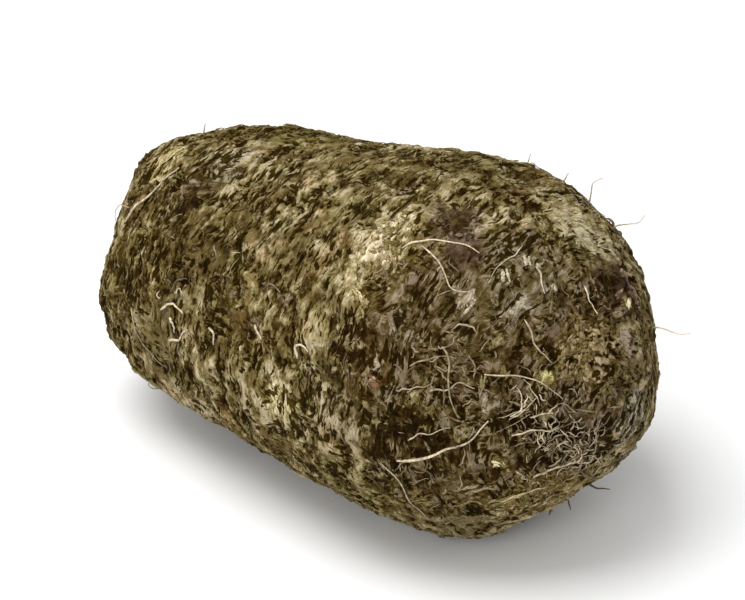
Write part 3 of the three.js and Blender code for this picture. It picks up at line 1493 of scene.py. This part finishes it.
def take_pattern(piece: Piece) -> Pattern:
    """Reads a modelled shape and clears it away.

    Args:
        piece: The shape.

    Returns:
        Its pattern.
    """
    select_only(piece)
    bpy.ops.object.mode_set(mode="EDIT")
    bpy.ops.mesh.select_all(action="SELECT")
    bpy.ops.mesh.normals_make_consistent(inside=False)
    bpy.ops.mesh.quads_convert_to_tris()
    bpy.ops.object.mode_set(mode="OBJECT")
    triangles = np.empty(len(piece.data.polygons) * 3, dtype=np.int64)
    piece.data.polygons.foreach_get("vertices", triangles)
    pattern = Pattern(read_points(piece), triangles.reshape(-1, 3))
    bpy.ops.object.delete()
    return pattern


def flake_pattern(corners: int) -> Pattern:
    """Models one flake: a low crowned disc that narrows to a root below.

    Args:
        corners: How many corners its rim has.

    Returns:
        Its pattern, one unit in radius.
    """
    bpy.ops.mesh.primitive_circle_add(vertices=corners, radius=1.0, fill_type="TRIFAN")
    flake = bpy.context.active_object
    bpy.ops.object.mode_set(mode="EDIT")
    bpy.ops.mesh.select_all(action="SELECT")
    bpy.ops.mesh.extrude_region_move(TRANSFORM_OT_translate={"value": (0, 0, -1)})
    bpy.ops.mesh.merge(type="CENTER")
    bpy.ops.object.mode_set(mode="OBJECT")
    return take_pattern(flake)


def thread_pattern(sides: int, stretches: int) -> Pattern:
    """Models one straight thread, closed at both ends.

    Args:
        sides: How many sides it has.
        stretches: How many unit lengths it is long.

    Returns:
        Its pattern, one unit in radius.
    """
    bpy.ops.mesh.primitive_circle_add(vertices=sides, radius=1.0, fill_type="NGON")
    thread = bpy.context.active_object
    bpy.ops.object.mode_set(mode="EDIT")
    bpy.ops.mesh.select_all(action="SELECT")
    for _ in range(stretches):
        bpy.ops.mesh.extrude_region_move(TRANSFORM_OT_translate={"value": (0, 0, 1)})
    bpy.ops.object.mode_set(mode="OBJECT")
    return take_pattern(thread)


def join_copies(
    name: str, pattern: Pattern, places: Array, grain: Array, values: dict[str, Array]
) -> Piece:
    """Makes one piece of many copies of a pattern, each with its own corner of the flat map.

    Args:
        name: The piece's name.
        pattern: The shape that is copied.
        places: The copies' points, copy by point by three, in metres.
        grain: Each copy's grain place.
        values: Each copy's other values, by name.

    Returns:
        The piece.
    """
    copies, size = places.shape[:2]
    corners = (np.arange(copies)[:, None, None] * size + pattern.triangles[None]).reshape(-1)
    mesh = bpy.data.meshes.new(name)
    mesh.vertices.add(copies * size)
    mesh.vertices.foreach_set("co", places.reshape(-1))
    mesh.loops.add(len(corners))
    mesh.loops.foreach_set("vertex_index", corners)
    mesh.polygons.add(len(corners) // 3)
    mesh.polygons.foreach_set("loop_start", np.arange(0, len(corners), 3))
    mesh.update(calc_edges=True)
    grain_values = mesh.attributes.new(GRAIN, "FLOAT_VECTOR", "POINT")
    grain_values.data.foreach_set("vector", np.repeat(grain, size, axis=0).reshape(-1))
    for key, numbers in values.items():
        attribute = mesh.attributes.new(key, "FLOAT", "POINT")
        attribute.data.foreach_set("value", np.repeat(numbers, size))
    columns = math.ceil(math.sqrt(copies))
    spread = pattern.points[:, :2] + pattern.points[:, 2:] * 0.3
    spread = (spread - spread.min(0)) / (spread.max(0) - spread.min(0)) * 0.8 + 0.1
    index = np.arange(copies)
    cell = np.stack([index % columns, index // columns], axis=1)
    flat = ((cell[:, None] + spread[None]) / columns).reshape(-1, 2)
    layer = mesh.uv_layers.new(name="OFBake")
    layer.data.foreach_set("uv", flat[corners].reshape(-1))
    piece = bpy.data.objects.new(name, mesh)
    bpy.context.scene.collection.objects.link(piece)
    return piece


def crowd(surface: Surface, ground: Ground, tufts: tuple[Tuft, ...]) -> Array:
    """Adds up how strongly tufts draw things to each point of the skin.

    Args:
        surface: The skin.
        ground: Its points.
        tufts: The tufts.

    Returns:
        One weight per point.
    """
    weight = np.zeros(len(ground.places))
    for tuft in tufts:
        centre = np.array(surface.at(tuft.along, tuft.around)[0])
        away = np.linalg.norm(ground.places - centre, axis=1) / (tuft.radius * MM)
        weight += tuft.density * np.exp(-(away**2))
    return weight


@dataclass
class FlakeCoat:
    """Small flakes of cork, lifted from the bark around the tuber.

    They come where the bark's level is near best_level, and in the tufts. A flake's length runs
    around the tuber, within lie in radians. Its rim is ragged, its ends curl up and it leans.
    """

    name: str = "bark_flakes"
    seed: int = 11
    count: int = 2400
    corners: int = 6
    length: float = 1.8 * MM
    width: float = 0.95 * MM
    spread: float = 0.4
    lift: float = 0.1 * MM
    lifts: Span = (0.3, 1.5)
    drop: float = 0.3
    unevenness: float = 0.15
    raggedness: Span = (0.6, 1.25)
    root: float = 0.5 * MM
    shift: float = 0.35
    best_level: float = 0.1
    level_spread: float = 0.35
    least_level: float = -0.9
    lowest: float = 1.5 * MM
    elsewhere: float = 0.04
    tufts: tuple[Tuft, ...] = ()
    tints: Span = (0.0, 1.0)
    fresher: float = 0.1
    lean: float = 0.14
    lie: float = 0.75

    def build(self, surface: Surface, ground: Ground, finish: Material) -> Piece:
        """Builds the flakes.

        Args:
            surface: The skin that they lie on.
            ground: Its points.
            finish: Their material.

        Returns:
            The finished piece.
        """
        rng = np.random.default_rng(self.seed)
        pattern = flake_pattern(self.corners)
        chosen = self.choose(surface, ground, rng)
        ways = self.directions(ground, chosen, rng)
        reaches = self.reaches(pattern.points, rng)
        shift = rng.uniform(-self.shift, self.shift, (self.count, 1)) * MM * ways[0]
        places = (ground.places[chosen] + shift)[:, None]
        for way, reach in zip(ways, reaches):
            places = places + way[:, None] * reach[..., None]
        tints = rng.uniform(*self.tints, self.count)
        values = {TINT: tints, LEVEL: ground.level[chosen] + self.fresher}
        piece = join_copies(self.name, pattern, places, ground.grain[chosen], values)
        piece.data.materials.append(finish)
        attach(piece, BODY)
        return piece

    def choose(self, surface: Surface, ground: Ground, rng: Rng) -> Array:
        """Chooses the points of the skin where flakes grow.

        Args:
            surface: The skin.
            ground: Its points.
            rng: The source of chance.

        Returns:
            Each flake's point, as its number in the skin.
        """
        off = (ground.level - self.best_level) / self.level_spread
        weight = np.exp(-(off**2)) + self.elsewhere
        weight += crowd(surface, ground, self.tufts)
        weight *= (ground.places[:, 2] > self.lowest) & (ground.level > self.least_level)
        return rng.choice(len(weight), self.count, replace=False, p=weight / weight.sum())

    def directions(self, ground: Ground, chosen: Array, rng: Rng) -> tuple[Array, Array, Array]:
        """Turns and leans each flake.

        Args:
            ground: The skin's points.
            chosen: The flakes' points.
            rng: The source of chance.

        Returns:
            The directions of each flake's length, width and thickness.
        """
        normal = ground.normals[chosen]
        around = unit(np.cross((1.0, 0.0, 0.0), normal))
        along = np.cross(normal, around)
        turn = rng.normal(0.0, self.lie, self.count) + ground.way[chosen] * math.pi / 2
        length_way = around * np.cos(turn)[:, None] + along * np.sin(turn)[:, None]
        tilt = rng.normal(0.0, self.lean, (self.count, 2))
        up = unit(normal + length_way * tilt[:, :1] + np.cross(normal, length_way) * tilt[:, 1:])
        length_way = unit(np.cross(np.cross(up, length_way), up))
        return length_way, np.cross(up, length_way), up

    def reaches(self, points: Array, rng: Rng) -> tuple[Array, Array, Array]:
        """Gives each flake its own size, ragged rim and curl.

        Args:
            points: The flake pattern's points.
            rng: The source of chance.

        Returns:
            How far each point is along its flake's length, width and thickness, in metres.
        """
        size = np.exp(rng.normal(0.0, self.spread, (self.count, 2)))
        shape = (self.count, len(points))
        ragged = rng.uniform(*self.raggedness, shape)
        reach_x = points[:, 0] * ragged * (size[:, :1] * self.length / 2)
        reach_y = points[:, 1] * ragged * (size[:, 1:] * self.width / 2)
        curl = rng.uniform(0.0, 1.0, (self.count, 1)) * points[:, 0] ** 2 * self.lift
        rim = np.hypot(points[:, 0], points[:, 1])
        top = self.lift * rng.uniform(*self.lifts, (self.count, 1)) + curl
        top = top - self.drop * self.lift * rim
        top = top + rng.normal(0.0, self.unevenness, shape) * self.lift
        return reach_x, reach_y, np.where(points[:, 2] < -0.5, -self.root, top)


CRUMBS = FlakeCoat(
    name="cork_crumbs",
    seed=17,
    count=560,
    length=1.8 * MM,
    width=1.1 * MM,
    lift=0.32 * MM,
    lean=0.25,
    lie=1.2,
    elsewhere=0.02,
    tufts=(
        Tuft(31, 123, 6.0, 30.0),
        Tuft(34, 136, 5.0, 18.0),
        Tuft(79, 98, 7.0, 36.0),
        Tuft(77, 40, 6.0, 12.0),
        Tuft(12, 181, 4.0, 8.0),
        Tuft(74, 250, 7.0, 8.0),
        Tuft(66, 208, 6.0, 9.0),
        Tuft(73, 222, 6.0, 10.0),
        Tuft(63, 166, 5.0, 4.0),
        Tuft(-40, 330, 7.0, 6.0),
        Tuft(-36, 114, 3.0, 12.0),
        Tuft(61, 98, 3.0, 12.0),
    ),
    tints=(0.3, 0.9),
    fresher=1.0,
)


@dataclass(frozen=True)
class Strand:
    """One rootlet's course: its stations, outward directions and radii, in metres."""

    places: Array
    normals: Array
    radii: Array
    tint: float


@dataclass
class Bundle:
    """Many strands made into one piece."""

    name: str
    sides: int
    stretches: int
    slot: Slot = Slot.ROOTLET
    flatness: float = 1.0

    def build(self, strands: list[Strand], finish: Material) -> Piece:
        """Bends a copy of one straight thread along each strand.

        Args:
            strands: The strands, each with one station more than there are stretches.
            finish: Their material.

        Returns:
            The finished piece.
        """
        pattern = thread_pattern(self.sides, self.stretches)
        station = np.rint(pattern.points[:, 2]).astype(int)
        course = np.stack([strand.places for strand in strands])
        way = unit(np.gradient(course, axis=1))
        side = unit(np.cross(way, np.stack([strand.normals for strand in strands])))
        up = np.cross(side, way)
        radii = np.stack([strand.radii for strand in strands])[:, station]
        across = (pattern.points[:, 0] * radii)[..., None]
        outward = (pattern.points[:, 1] * radii * self.flatness)[..., None]
        places = course[:, station] + side[:, station] * across + up[:, station] * outward
        tints = np.array([strand.tint for strand in strands])
        values = {TINT: tints, LEVEL: np.ones(len(strands))}
        piece = join_copies(self.name, pattern, places, course[:, 0] / MM, values)
        piece.data.materials.append(finish)
        select_only(piece)
        bpy.ops.object.shade_smooth()
        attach(piece, BODY)
        return piece


def settle(points: Array, passes: int) -> None:
    """Moves a course's points towards their neighbours' middle, but for its ends."""
    for _ in range(passes):
        points[1:-1] = (points[:-2] + 2 * points[1:-1] + points[2:]) / 4


def resample(points: Array, stretches: int) -> Array:
    """Spreads stations evenly along a rounded course.

    Args:
        points: The course's own points.
        stretches: How many stretches it is cut into.

    Returns:
        One row per station.
    """
    reach = np.concatenate(([0.0], np.cumsum(np.linalg.norm(np.diff(points, axis=0), axis=1))))
    stations = np.linspace(0.0, reach[-1], stretches + 1)
    even = np.stack([np.interp(stations, reach, points[:, axis]) for axis in range(3)], axis=1)
    settle(even, 4)
    return even


def trace(route: tuple[Size, ...], surface: Surface, stretches: int) -> tuple[Array, Array]:
    """Follows a route over the skin.

    Args:
        route: Where it passes, along in mm and around in degrees.
        surface: The skin.
        stretches: How many stretches it is cut into.

    Returns:
        Its stations, and the outward direction at each.
    """
    places, normals = zip(*(surface.at(*place) for place in route))
    return resample(np.array(places), stretches), unit(resample(np.array(normals), stretches))


@dataclass
class FineRootlets:
    """Short rootlets, dry and kinked, that lie on the bark."""

    name: str = "rootlets_fine"
    seed: int = 3
    count: int = 440
    length: float = 3.6 * MM
    length_spread: float = 0.4
    radius: float = 0.16 * MM
    radius_spread: float = 0.35
    thin_share: float = 0.35
    clearance: float = 0.08 * MM
    most_arch: float = 0.6
    stretches: int = 12
    sides: int = 4
    lowest: float = 2.5 * MM
    on_cork: float = 0.1
    on_skin: float = 0.6
    tip_start: float = 20.0
    before_tip: float = 0.25
    kink_chance: float = 0.3
    kink: float = 0.7
    waver: float = 0.16
    tufts: tuple[Tuft, ...] = (
        Tuft(79, 190, 7.5, 26.0),
        Tuft(80, 245, 7.0, 14.0),
        Tuft(76, 160, 5.0, 12.0),
        Tuft(60, 158, 8.0, 3.0),
        Tuft(62, 195, 7.0, 1.5),
        Tuft(-17, 140, 4.0, 4.0),
        Tuft(-36, 165, 5.0, 4.0),
        Tuft(79, 320, 8.0, 6.0),
        Tuft(-70, 60, 8.0, 3.0),
    )

    def build(self, surface: Surface, ground: Ground, finish: Material) -> Piece:
        """Grows the rootlets.

        Args:
            surface: The skin that they lie on.
            ground: Its points.
            finish: Their material.

        Returns:
            The finished piece.
        """
        rng = np.random.default_rng(self.seed)
        weight = self.density(surface, ground)
        chosen = rng.choice(len(weight), self.count, replace=False, p=weight / weight.sum())
        fresh = np.clip(weight / np.quantile(weight[chosen], 0.8), 0.0, 1.0)
        strands = [self.grow(surface, ground, index, fresh[index], rng) for index in chosen]
        return Bundle(self.name, self.sides, self.stretches).build(strands, finish)

    def density(self, surface: Surface, ground: Ground) -> Array:
        """Says how likely a rootlet is at each point of the skin.

        Args:
            surface: The skin.
            ground: Its points.

        Returns:
            One weight per point.
        """
        weight = np.where(ground.level > 0.0, self.on_cork, self.on_skin)
        weight = weight * np.where(ground.grain[:, 0] > self.tip_start, 1.0, self.before_tip)
        weight = weight + crowd(surface, ground, self.tufts)
        return weight * (ground.places[:, 2] > self.lowest)

    def grow(self, surface: Surface, ground: Ground, index: int, fresh: float, rng: Rng) -> Strand:
        """Grows one rootlet along the skin, step by step.

        Args:
            surface: The skin.
            ground: Its points.
            index: The point where it starts.
            fresh: How pale it may be, from 0 to 1.
            rng: The source of chance.

        Returns:
            Its course.
        """
        normal = Vector(ground.normals[index])
        around = Vector((1.0, 0.0, 0.0)).cross(normal).normalized()
        turn = rng.uniform(-math.pi, math.pi)
        heading = around * math.cos(turn) + normal.cross(around) * math.sin(turn)
        step = self.length * math.exp(rng.normal(0.0, self.length_spread)) / self.stretches
        place = Vector(ground.places[index])
        rise = rng.uniform(0.0, self.most_arch) * MM
        places = []
        for station in range(self.stretches + 1):
            arch = math.sin(math.pi * station / self.stretches) * rise
            places.append(place + normal * (self.clearance + arch))
            bend = rng.normal(0.0, self.kink if rng.random() < self.kink_chance else self.waver)
            heading = (heading + normal.cross(heading) * bend).normalized()
            place = surface.nearest(place + heading * step)
        stations = np.linspace(0.0, 1.0, self.stretches + 1)
        thick = self.radius * math.exp(rng.normal(0.0, self.radius_spread))
        swell = np.sin(np.pi * (0.15 + 0.8 * stations))
        radii = thick * (self.thin_share + (1.0 - self.thin_share) * swell)
        outward = np.tile(np.array(normal), (len(places), 1))
        return Strand(np.array(places), outward, radii, rng.uniform(0.15, 0.6 + 0.4 * fresh))


@dataclass(frozen=True)
class LongRootlet:
    """A long rootlet lying on the skin: where it passes, along in mm and around in degrees."""

    route: tuple[tuple[float, float], ...]
    radius: float
    tint: float


@dataclass(frozen=True)
class LooseRootlet:
    """A rootlet that stands off the skin: its root, then each stretch's direction and length."""

    along: float
    around: float
    stretches: tuple[tuple[float, float, float], ...]
    radius: float
    tint: float


@dataclass
class LongRootlets:
    """The few long rootlets that stand out, on the skin and off it."""

    name: str = "rootlets_long"
    seed: int = 5
    stretches: int = 20
    sides: int = 6
    clearance: float = 0.25 * MM
    bedding: float = 0.4
    waver: float = 0.35 * MM
    lying: tuple[LongRootlet, ...] = (
        LongRootlet(
            ((51, 191), (55, 190), (59, 188), (61, 183), (65, 182), (68, 179), (69, 173), (70, 168)),
            0.42,
            1.0,
        ),
        LongRootlet(((36, 124), (37, 120), (41, 116), (46, 114), (48, 110), (52, 110)), 0.32, 1.0),
        LongRootlet(((40, 120), (45, 122), (50, 125), (52, 128), (57, 126)), 0.26, 0.8),
        LongRootlet(((-62, 146), (-60, 137), (-58, 131), (-57, 125), (-54, 117)), 0.4, 0.75),
        LongRootlet(((-36, 169), (-33, 166), (-30, 166), (-27, 168)), 0.42, 0.8),
        LongRootlet(((-32, 171), (-30, 173), (-29, 175)), 0.38, 0.85),
        LongRootlet(((-32, 179), (-28, 178), (-26, 174)), 0.42, 0.8),
        LongRootlet(((-32, 161), (-30, 160), (-28, 163)), 0.22, 0.75),
        LongRootlet(((0, 161), (4, 165)), 0.38, 0.95),
        LongRootlet(((19, 166), (18, 163), (20, 160), (22, 162)), 0.44, 0.8),
        LongRootlet(((-17, 169), (-14, 173)), 0.38, 0.85),
        LongRootlet(((63, 100), (67, 106)), 0.32, 0.8),
        LongRootlet(((68, 120), (72, 126), (76, 131)), 0.3, 0.65),
        LongRootlet(((73, 167), (75, 162), (74, 155), (73, 149)), 0.28, 0.95),
        LongRootlet(((74, 178), (76, 175), (79, 178)), 0.28, 0.95),
        LongRootlet(((76, 166), (79, 164)), 0.26, 0.8),
        LongRootlet(((75, 215), (77, 220), (78, 231), (79, 244)), 0.3, 0.85),
        LongRootlet(((74, 203), (74, 210), (73, 217)), 0.26, 0.7),
        LongRootlet(((57, 97), (58, 105), (58, 112), (58, 118)), 0.22, 0.75),
        LongRootlet(((47, 193), (50, 201), (51, 212), (52, 222)), 0.2, 0.7),
        LongRootlet(((70, 83), (72, 84), (75, 84)), 0.26, 1.0),
        LongRootlet(((67, 150), (71, 148), (74, 146), (77, 148), (79, 153)), 0.24, 0.8),
        LongRootlet(((54, 182), (57, 178), (60, 179), (63, 176)), 0.22, 0.7),
        LongRootlet(((57, 146), (59, 148), (61, 155), (62, 162), (64, 168)), 0.34, 0.5),
        LongRootlet(((50, 165), (54, 163), (57, 160)), 0.26, 0.55),
        LongRootlet(((58, 162), (61, 161), (64, 157), (67, 158)), 0.28, 0.6),
        LongRootlet(((52, 156), (55, 152), (60, 150)), 0.22, 0.5),
        LongRootlet(((30, 20), (38, 12), (47, 10), (55, 16)), 0.26, 0.8),
        LongRootlet(((-10, 330), (-2, 338), (8, 341)), 0.24, 0.8),
        LongRootlet(((60, 330), (66, 338), (71, 350)), 0.28, 0.9),
        LongRootlet(((-52, 60), (-46, 52), (-38, 50)), 0.22, 0.7),
        LongRootlet(((-48, 175), (-46, 186), (-40, 194)), 0.2, 0.6),
    )
    loose: tuple[LooseRootlet, ...] = (
        LooseRootlet(46, 46, ((0.1, 0.1, 1.0), (0.1, 0.0, 1.0), (0.7, 0.5, 0.5)), 0.24, 0.7),
        LooseRootlet(52, 38, ((0.8, 0.7, 0.1), (0.8, 0.8, 0.1), (0.4, 0.3, 0.9)), 0.25, 0.8),
        LooseRootlet(74, 22, ((0.8, 0.7, -0.2), (0.9, 0.7, -0.5), (0.8, 0.8, 0.1)), 0.27, 1.0),
        LooseRootlet(70, 285, ((0.5, 0.4, -0.3), (0.8, 0.6, 0.0)), 0.3, 0.15),
        LooseRootlet(66, 276, ((0.3, -0.1, -0.2), (0.1, 0.2, -0.9)), 0.3, 0.1),
        LooseRootlet(20, 224, ((0.1, -0.5, -0.1), (0.0, -0.2, -0.6)), 0.26, 0.6),
        LooseRootlet(-64, 140, ((-0.5, -0.5, 0.4), (-0.3, -0.2, -0.8), (0.2, -0.1, -1.0)), 0.22, 0.7),
        LooseRootlet(-61, 92, ((0.0, 0.1, 1.0),), 0.24, 0.5),
        LooseRootlet(30, 58, ((0.1, 0.3, 1.0),), 0.22, 0.7),
        LooseRootlet(39, 52, ((0.3, 0.3, 0.8),), 0.24, 0.7),
    )
    stretch_length: float = 2.9 * MM
    root_depth: float = 0.3
    root_height: float = 0.5
    loose_waver: float = 0.03 * MM

    def build(self, surface: Surface, finish: Material) -> Piece:
        """Builds the long rootlets.

        Args:
            surface: The skin.
            finish: Their material.

        Returns:
            The finished piece.
        """
        rng = np.random.default_rng(self.seed)
        strands = [self.lay(rootlet, surface, rng) for rootlet in self.lying]
        strands += [self.stand(rootlet, surface, rng) for rootlet in self.loose]
        return Bundle(self.name, self.sides, self.stretches).build(strands, finish)

    def taper(self, radius: float) -> Array:
        """Gives the radii along a rootlet, thin at its end.

        Args:
            radius: Its radius in mm, near its root.

        Returns:
            One radius per station, in metres.
        """
        stations = np.linspace(0.0, 1.0, self.stretches + 1)
        start = 0.45 + 0.55 * np.minimum(1.0, stations * 8 + 0.2)
        return radius * MM * (1.0 - 0.55 * stations) * start

    def lay(self, rootlet: LongRootlet, surface: Surface, rng: Rng) -> Strand:
        """Lays one rootlet on the skin.

        Args:
            rootlet: The rootlet.
            surface: The skin.
            rng: The source of chance.

        Returns:
            Its course.
        """
        course, normals = trace(rootlet.route, surface, self.stretches)
        course = course + np.cumsum(rng.normal(0.0, self.waver, course.shape), axis=0) / 2
        places = np.array([surface.nearest(Vector(place)) for place in course])
        settle(places, 2)
        places = places + normals * (self.clearance + self.bedding * rootlet.radius * MM)
        return Strand(places, normals, self.taper(rootlet.radius), rootlet.tint)

    def stand(self, rootlet: LooseRootlet, surface: Surface, rng: Rng) -> Strand:
        """Stands one rootlet off the skin.

        Args:
            rootlet: The rootlet.
            surface: The skin.
            rng: The source of chance.

        Returns:
            Its course.
        """
        place, normal = surface.at(rootlet.along, rootlet.around)
        points = [place - normal * self.root_depth * MM, place + normal * self.root_height * MM]
        for direction in rootlet.stretches:
            points.append(points[-1] + Vector(direction) * self.stretch_length)
        course = resample(np.array(points), self.stretches)
        course[3:] += np.cumsum(rng.normal(0.0, self.loose_waver, course[3:].shape), axis=0)
        side = np.tile(np.array(normal.orthogonal()), (len(course), 1))
        return Strand(course, side, self.taper(rootlet.radius), rootlet.tint)


@dataclass(frozen=True)
class CorkStrip:
    """One strip of cork: where it passes, along in mm and around in degrees, and its half width."""

    route: tuple[tuple[float, float], ...]
    half_width: float
    tint: float


@dataclass
class CorkStrips:
    """Fibrous strips of cork that curve around the growing tip, each torn into shorter lengths."""

    name: str = "cork_strips"
    seed: int = 23
    torn_length: float = 6.0 * MM
    length_spread: float = 0.35
    overlap: float = 1.3
    shift: float = 0.8 * MM
    wander: float = 0.1 * MM
    clearance: float = 0.12
    widths: Span = (0.6, 1.1)
    unevenness: Span = (0.6, 1.2)
    tint_spread: float = 0.2
    fine: int = 120
    stretches: int = 12
    sides: int = 6
    flatness: float = 0.3
    strips: tuple[CorkStrip, ...] = (
        CorkStrip(((50, 211), (58, 209), (66, 210), (73, 213)), 0.6, 0.6),
        CorkStrip(((52, 217), (60, 217), (68, 221), (75, 230), (78, 246)), 0.75, 0.75),
        CorkStrip(((54, 225), (62, 230), (70, 240), (76, 256), (79, 290)), 0.75, 0.85),
        CorkStrip(((60, 240), (68, 250), (74, 266), (77, 290), (78, 315)), 0.75, 0.7),
        CorkStrip(((72, 232), (77, 246), (79, 275), (79, 310), (79, 335)), 0.65, 0.9),
        CorkStrip(((76, 300), (77, 325), (78, 345), (77, 365)), 0.65, 0.75),
        CorkStrip(((74, 310), (75, 335), (75, 352), (74, 370)), 0.6, 0.8),
        CorkStrip(((78, 352), (79, 375), (78, 395), (76, 408)), 0.45, 0.6),
        CorkStrip(((40, 200), (45, 207), (50, 216), (54, 226)), 0.45, 0.5),
        CorkStrip(((-64, 128), (-62, 112), (-60, 95)), 0.5, 0.9),
        CorkStrip(((-62, 250), (-60, 280), (-59, 310), (-61, 340)), 0.5, 0.4),
        CorkStrip(((-66, 20), (-64, 50), (-63, 85)), 0.45, 0.5),
        CorkStrip(((10, 235), (14, 262), (13, 290)), 0.5, 0.4),
        CorkStrip(((75, 134), (76, 140), (77, 146)), 1.7, 1.0),
        CorkStrip(((70, 193), (71, 193), (72, 194)), 0.85, 1.0),
        CorkStrip(((73, 53), (74, 55), (75, 57)), 0.8, 1.0),
        CorkStrip(((60, 98), (61, 100), (62, 101)), 0.75, 0.9),
        CorkStrip(((59, 111), (60, 112), (61, 114)), 0.75, 0.9),
        CorkStrip(((67, 149), (68, 154), (68, 160)), 0.5, 0.9),
        CorkStrip(((40, 141), (43, 145), (45, 150)), 0.6, 0.8),
        CorkStrip(((42, 158), (43, 160), (44, 161)), 0.8, 0.9),
        CorkStrip(((28, 139), (33, 142), (38, 147)), 0.6, 0.8),
    )

    def build(self, surface: Surface, finish: Material) -> Piece:
        """Builds the strips.

        Args:
            surface: The skin.
            finish: Their material.

        Returns:
            The finished piece.
        """
        rng = np.random.default_rng(self.seed)
        strands = [strand for strip in self.strips for strand in self.lay(strip, surface, rng)]
        bundle = Bundle(self.name, self.sides, self.stretches, Slot.FLAKE, self.flatness)
        return bundle.build(strands, finish)

    def lay(self, strip: CorkStrip, surface: Surface, rng: Rng) -> list[Strand]:
        """Lays the torn lengths of one strip on the skin.

        Args:
            strip: The strip.
            surface: The skin.
            rng: The source of chance.

        Returns:
            Their courses.
        """
        course, normals = trace(strip.route, surface, self.fine)
        total = np.linalg.norm(np.diff(course, axis=0), axis=1).sum()
        strands = []
        for _ in range(max(2, round(self.overlap * total / self.torn_length))):
            share = self.torn_length * math.exp(rng.normal(0.0, self.length_spread)) / total
            start = rng.uniform(0.0, max(1.0 - share, 0.01))
            pick = np.linspace(start, min(start + share, 1.0), self.stretches + 1) * self.fine
            index = pick.astype(int)
            side = unit(np.cross(normals[index], np.gradient(course, axis=0)[index]))
            shift = rng.normal(0.0, self.shift)
            shift = shift + np.cumsum(rng.normal(0.0, self.wander, len(index)))
            places = course[index] + side * shift[:, None]
            places = np.array([surface.nearest(Vector(place)) for place in places])
            settle(places, 1)
            stations = np.linspace(0.0, 1.0, self.stretches + 1)
            swell = np.sqrt(np.sin(np.pi * (0.03 + 0.94 * stations)))
            swell = swell * rng.uniform(*self.unevenness, len(index))
            radii = strip.half_width * MM * rng.uniform(*self.widths) * swell
            tint = min(max(strip.tint + rng.normal(0.0, self.tint_spread), 0.0), 1.0)
            places = places + normals[index] * self.clearance * MM
            strands.append(Strand(places, normals[index], radii, tint))
        return strands


@dataclass(frozen=True)
class SoftBox:
    """A square soft light: where it hangs from the yam's middle, its width and power in watts."""

    name: str
    place: tuple[float, float, float]
    size: float
    power: float


@dataclass
class Studio:
    """The pale floor, the soft lights and the camera."""

    azimuth: float = 44.0
    elevation: float = 29.0
    distance: float = 1.35
    lens: float = 249.0
    nearest: float = 0.05
    floor_size: float = 12.0
    floor_drop: float = 0.2 * MM
    floor_colour: Rgb = (0.86, 0.86, 0.86)
    floor_roughness: float = 0.7
    room_colour: Rgb = (1.0, 1.0, 1.0)
    room_strength: float = 0.66
    soft_boxes: tuple[SoftBox, ...] = (
        SoftBox("top light", (-0.25, -0.3, 1.1), 0.8, 13.0),
        SoftBox("front light", (0.5, -1.15, 0.55), 0.6, 6.0),
    )

    def build(self, low: Vector, high: Vector) -> None:
        """Sets up the studio around the yam.

        Args:
            low: The yam's lowest corner.
            high: Its highest corner.
        """
        self.lay_floor()
        centre = (low + high) / 2
        self.set_camera(centre)
        self.light_room()
        for soft_box in self.soft_boxes:
            self.hang(soft_box, centre)

    def lay_floor(self) -> None:
        """Lays a plain pale floor just under the yam."""
        bpy.ops.mesh.primitive_plane_add(size=self.floor_size, location=(0, 0, -self.floor_drop))
        floor = bpy.context.active_object
        floor.name = "floor"
        material, bench, shader = new_material("pale floor")
        bench.join(shader, {"Base Color": self.floor_colour, "Roughness": self.floor_roughness})
        floor.data.materials.append(material)
        floor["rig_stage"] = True

    def set_camera(self, centre: Vector) -> None:
        """Puts the camera where it looks down along the yam from its tip end.

        Args:
            centre: The middle of the yam.
        """
        turn = math.radians(self.azimuth)
        rise = math.radians(self.elevation)
        level = Vector((math.sin(turn), -math.cos(turn), 0.0))
        back = level * math.cos(rise) + Vector((0.0, 0.0, math.sin(rise)))
        bpy.ops.object.camera_add(location=centre + back * self.distance)
        camera = bpy.context.active_object
        camera.rotation_mode = "QUATERNION"
        camera.rotation_quaternion = (-back).to_track_quat("-Z", "Y")
        camera.data.lens = self.lens
        camera.data.clip_start = self.nearest
        bpy.context.scene.camera = camera

    def light_room(self) -> None:
        """Surrounds the yam with a white room."""
        world = bpy.data.worlds.new("white room")
        world.use_nodes = True
        background = world.node_tree.nodes["Background"]
        room = {"Color": self.room_colour, "Strength": self.room_strength}
        Bench(world.node_tree).join(background, room)
        bpy.context.scene.world = world

    def hang(self, soft_box: SoftBox, centre: Vector) -> None:
        """Hangs one soft box, facing the yam.

        Args:
            soft_box: The light.
            centre: The middle of the yam.
        """
        place = Vector(soft_box.place)
        bpy.ops.object.light_add(type="AREA", location=centre + place)
        light = bpy.context.active_object
        light.name = soft_box.name
        light.data.shape = "SQUARE"
        light.data.size = soft_box.size
        light.data.energy = soft_box.power
        light.rotation_mode = "QUATERNION"
        light.rotation_quaternion = (-place).to_track_quat("-Z", "Y")


def main() -> None:
    """Builds the yam and its studio."""
    logging.basicConfig(level=logging.INFO)
    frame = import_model()
    low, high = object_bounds()
    bpy.context.scene.view_settings.view_transform = "Standard"
    Studio().build(low, high)
    body = Skin()
    skin = body.build(frame["nodes"][NODE])
    surface = Surface(skin)
    hues = BarkHues().group(body.smooth_surface)
    skin.data.materials.append(BarkFinish().make(body.pattern, hues))
    ground = body.ground
    flake = FlakeFinish().make(hues)
    rootlet = RootletFinish().make()
    pieces = [
        skin,
        FlakeCoat().build(surface, ground, flake),
        CRUMBS.build(surface, ground, flake),
        CorkStrips().build(surface, flake),
        FineRootlets().build(surface, ground, rootlet),
        LongRootlets().build(surface, rootlet),
    ]
    for piece in pieces:
        LOG.info("%s: %d faces", piece.name, len(piece.data.polygons))


if __name__ == "__main__":
    main()
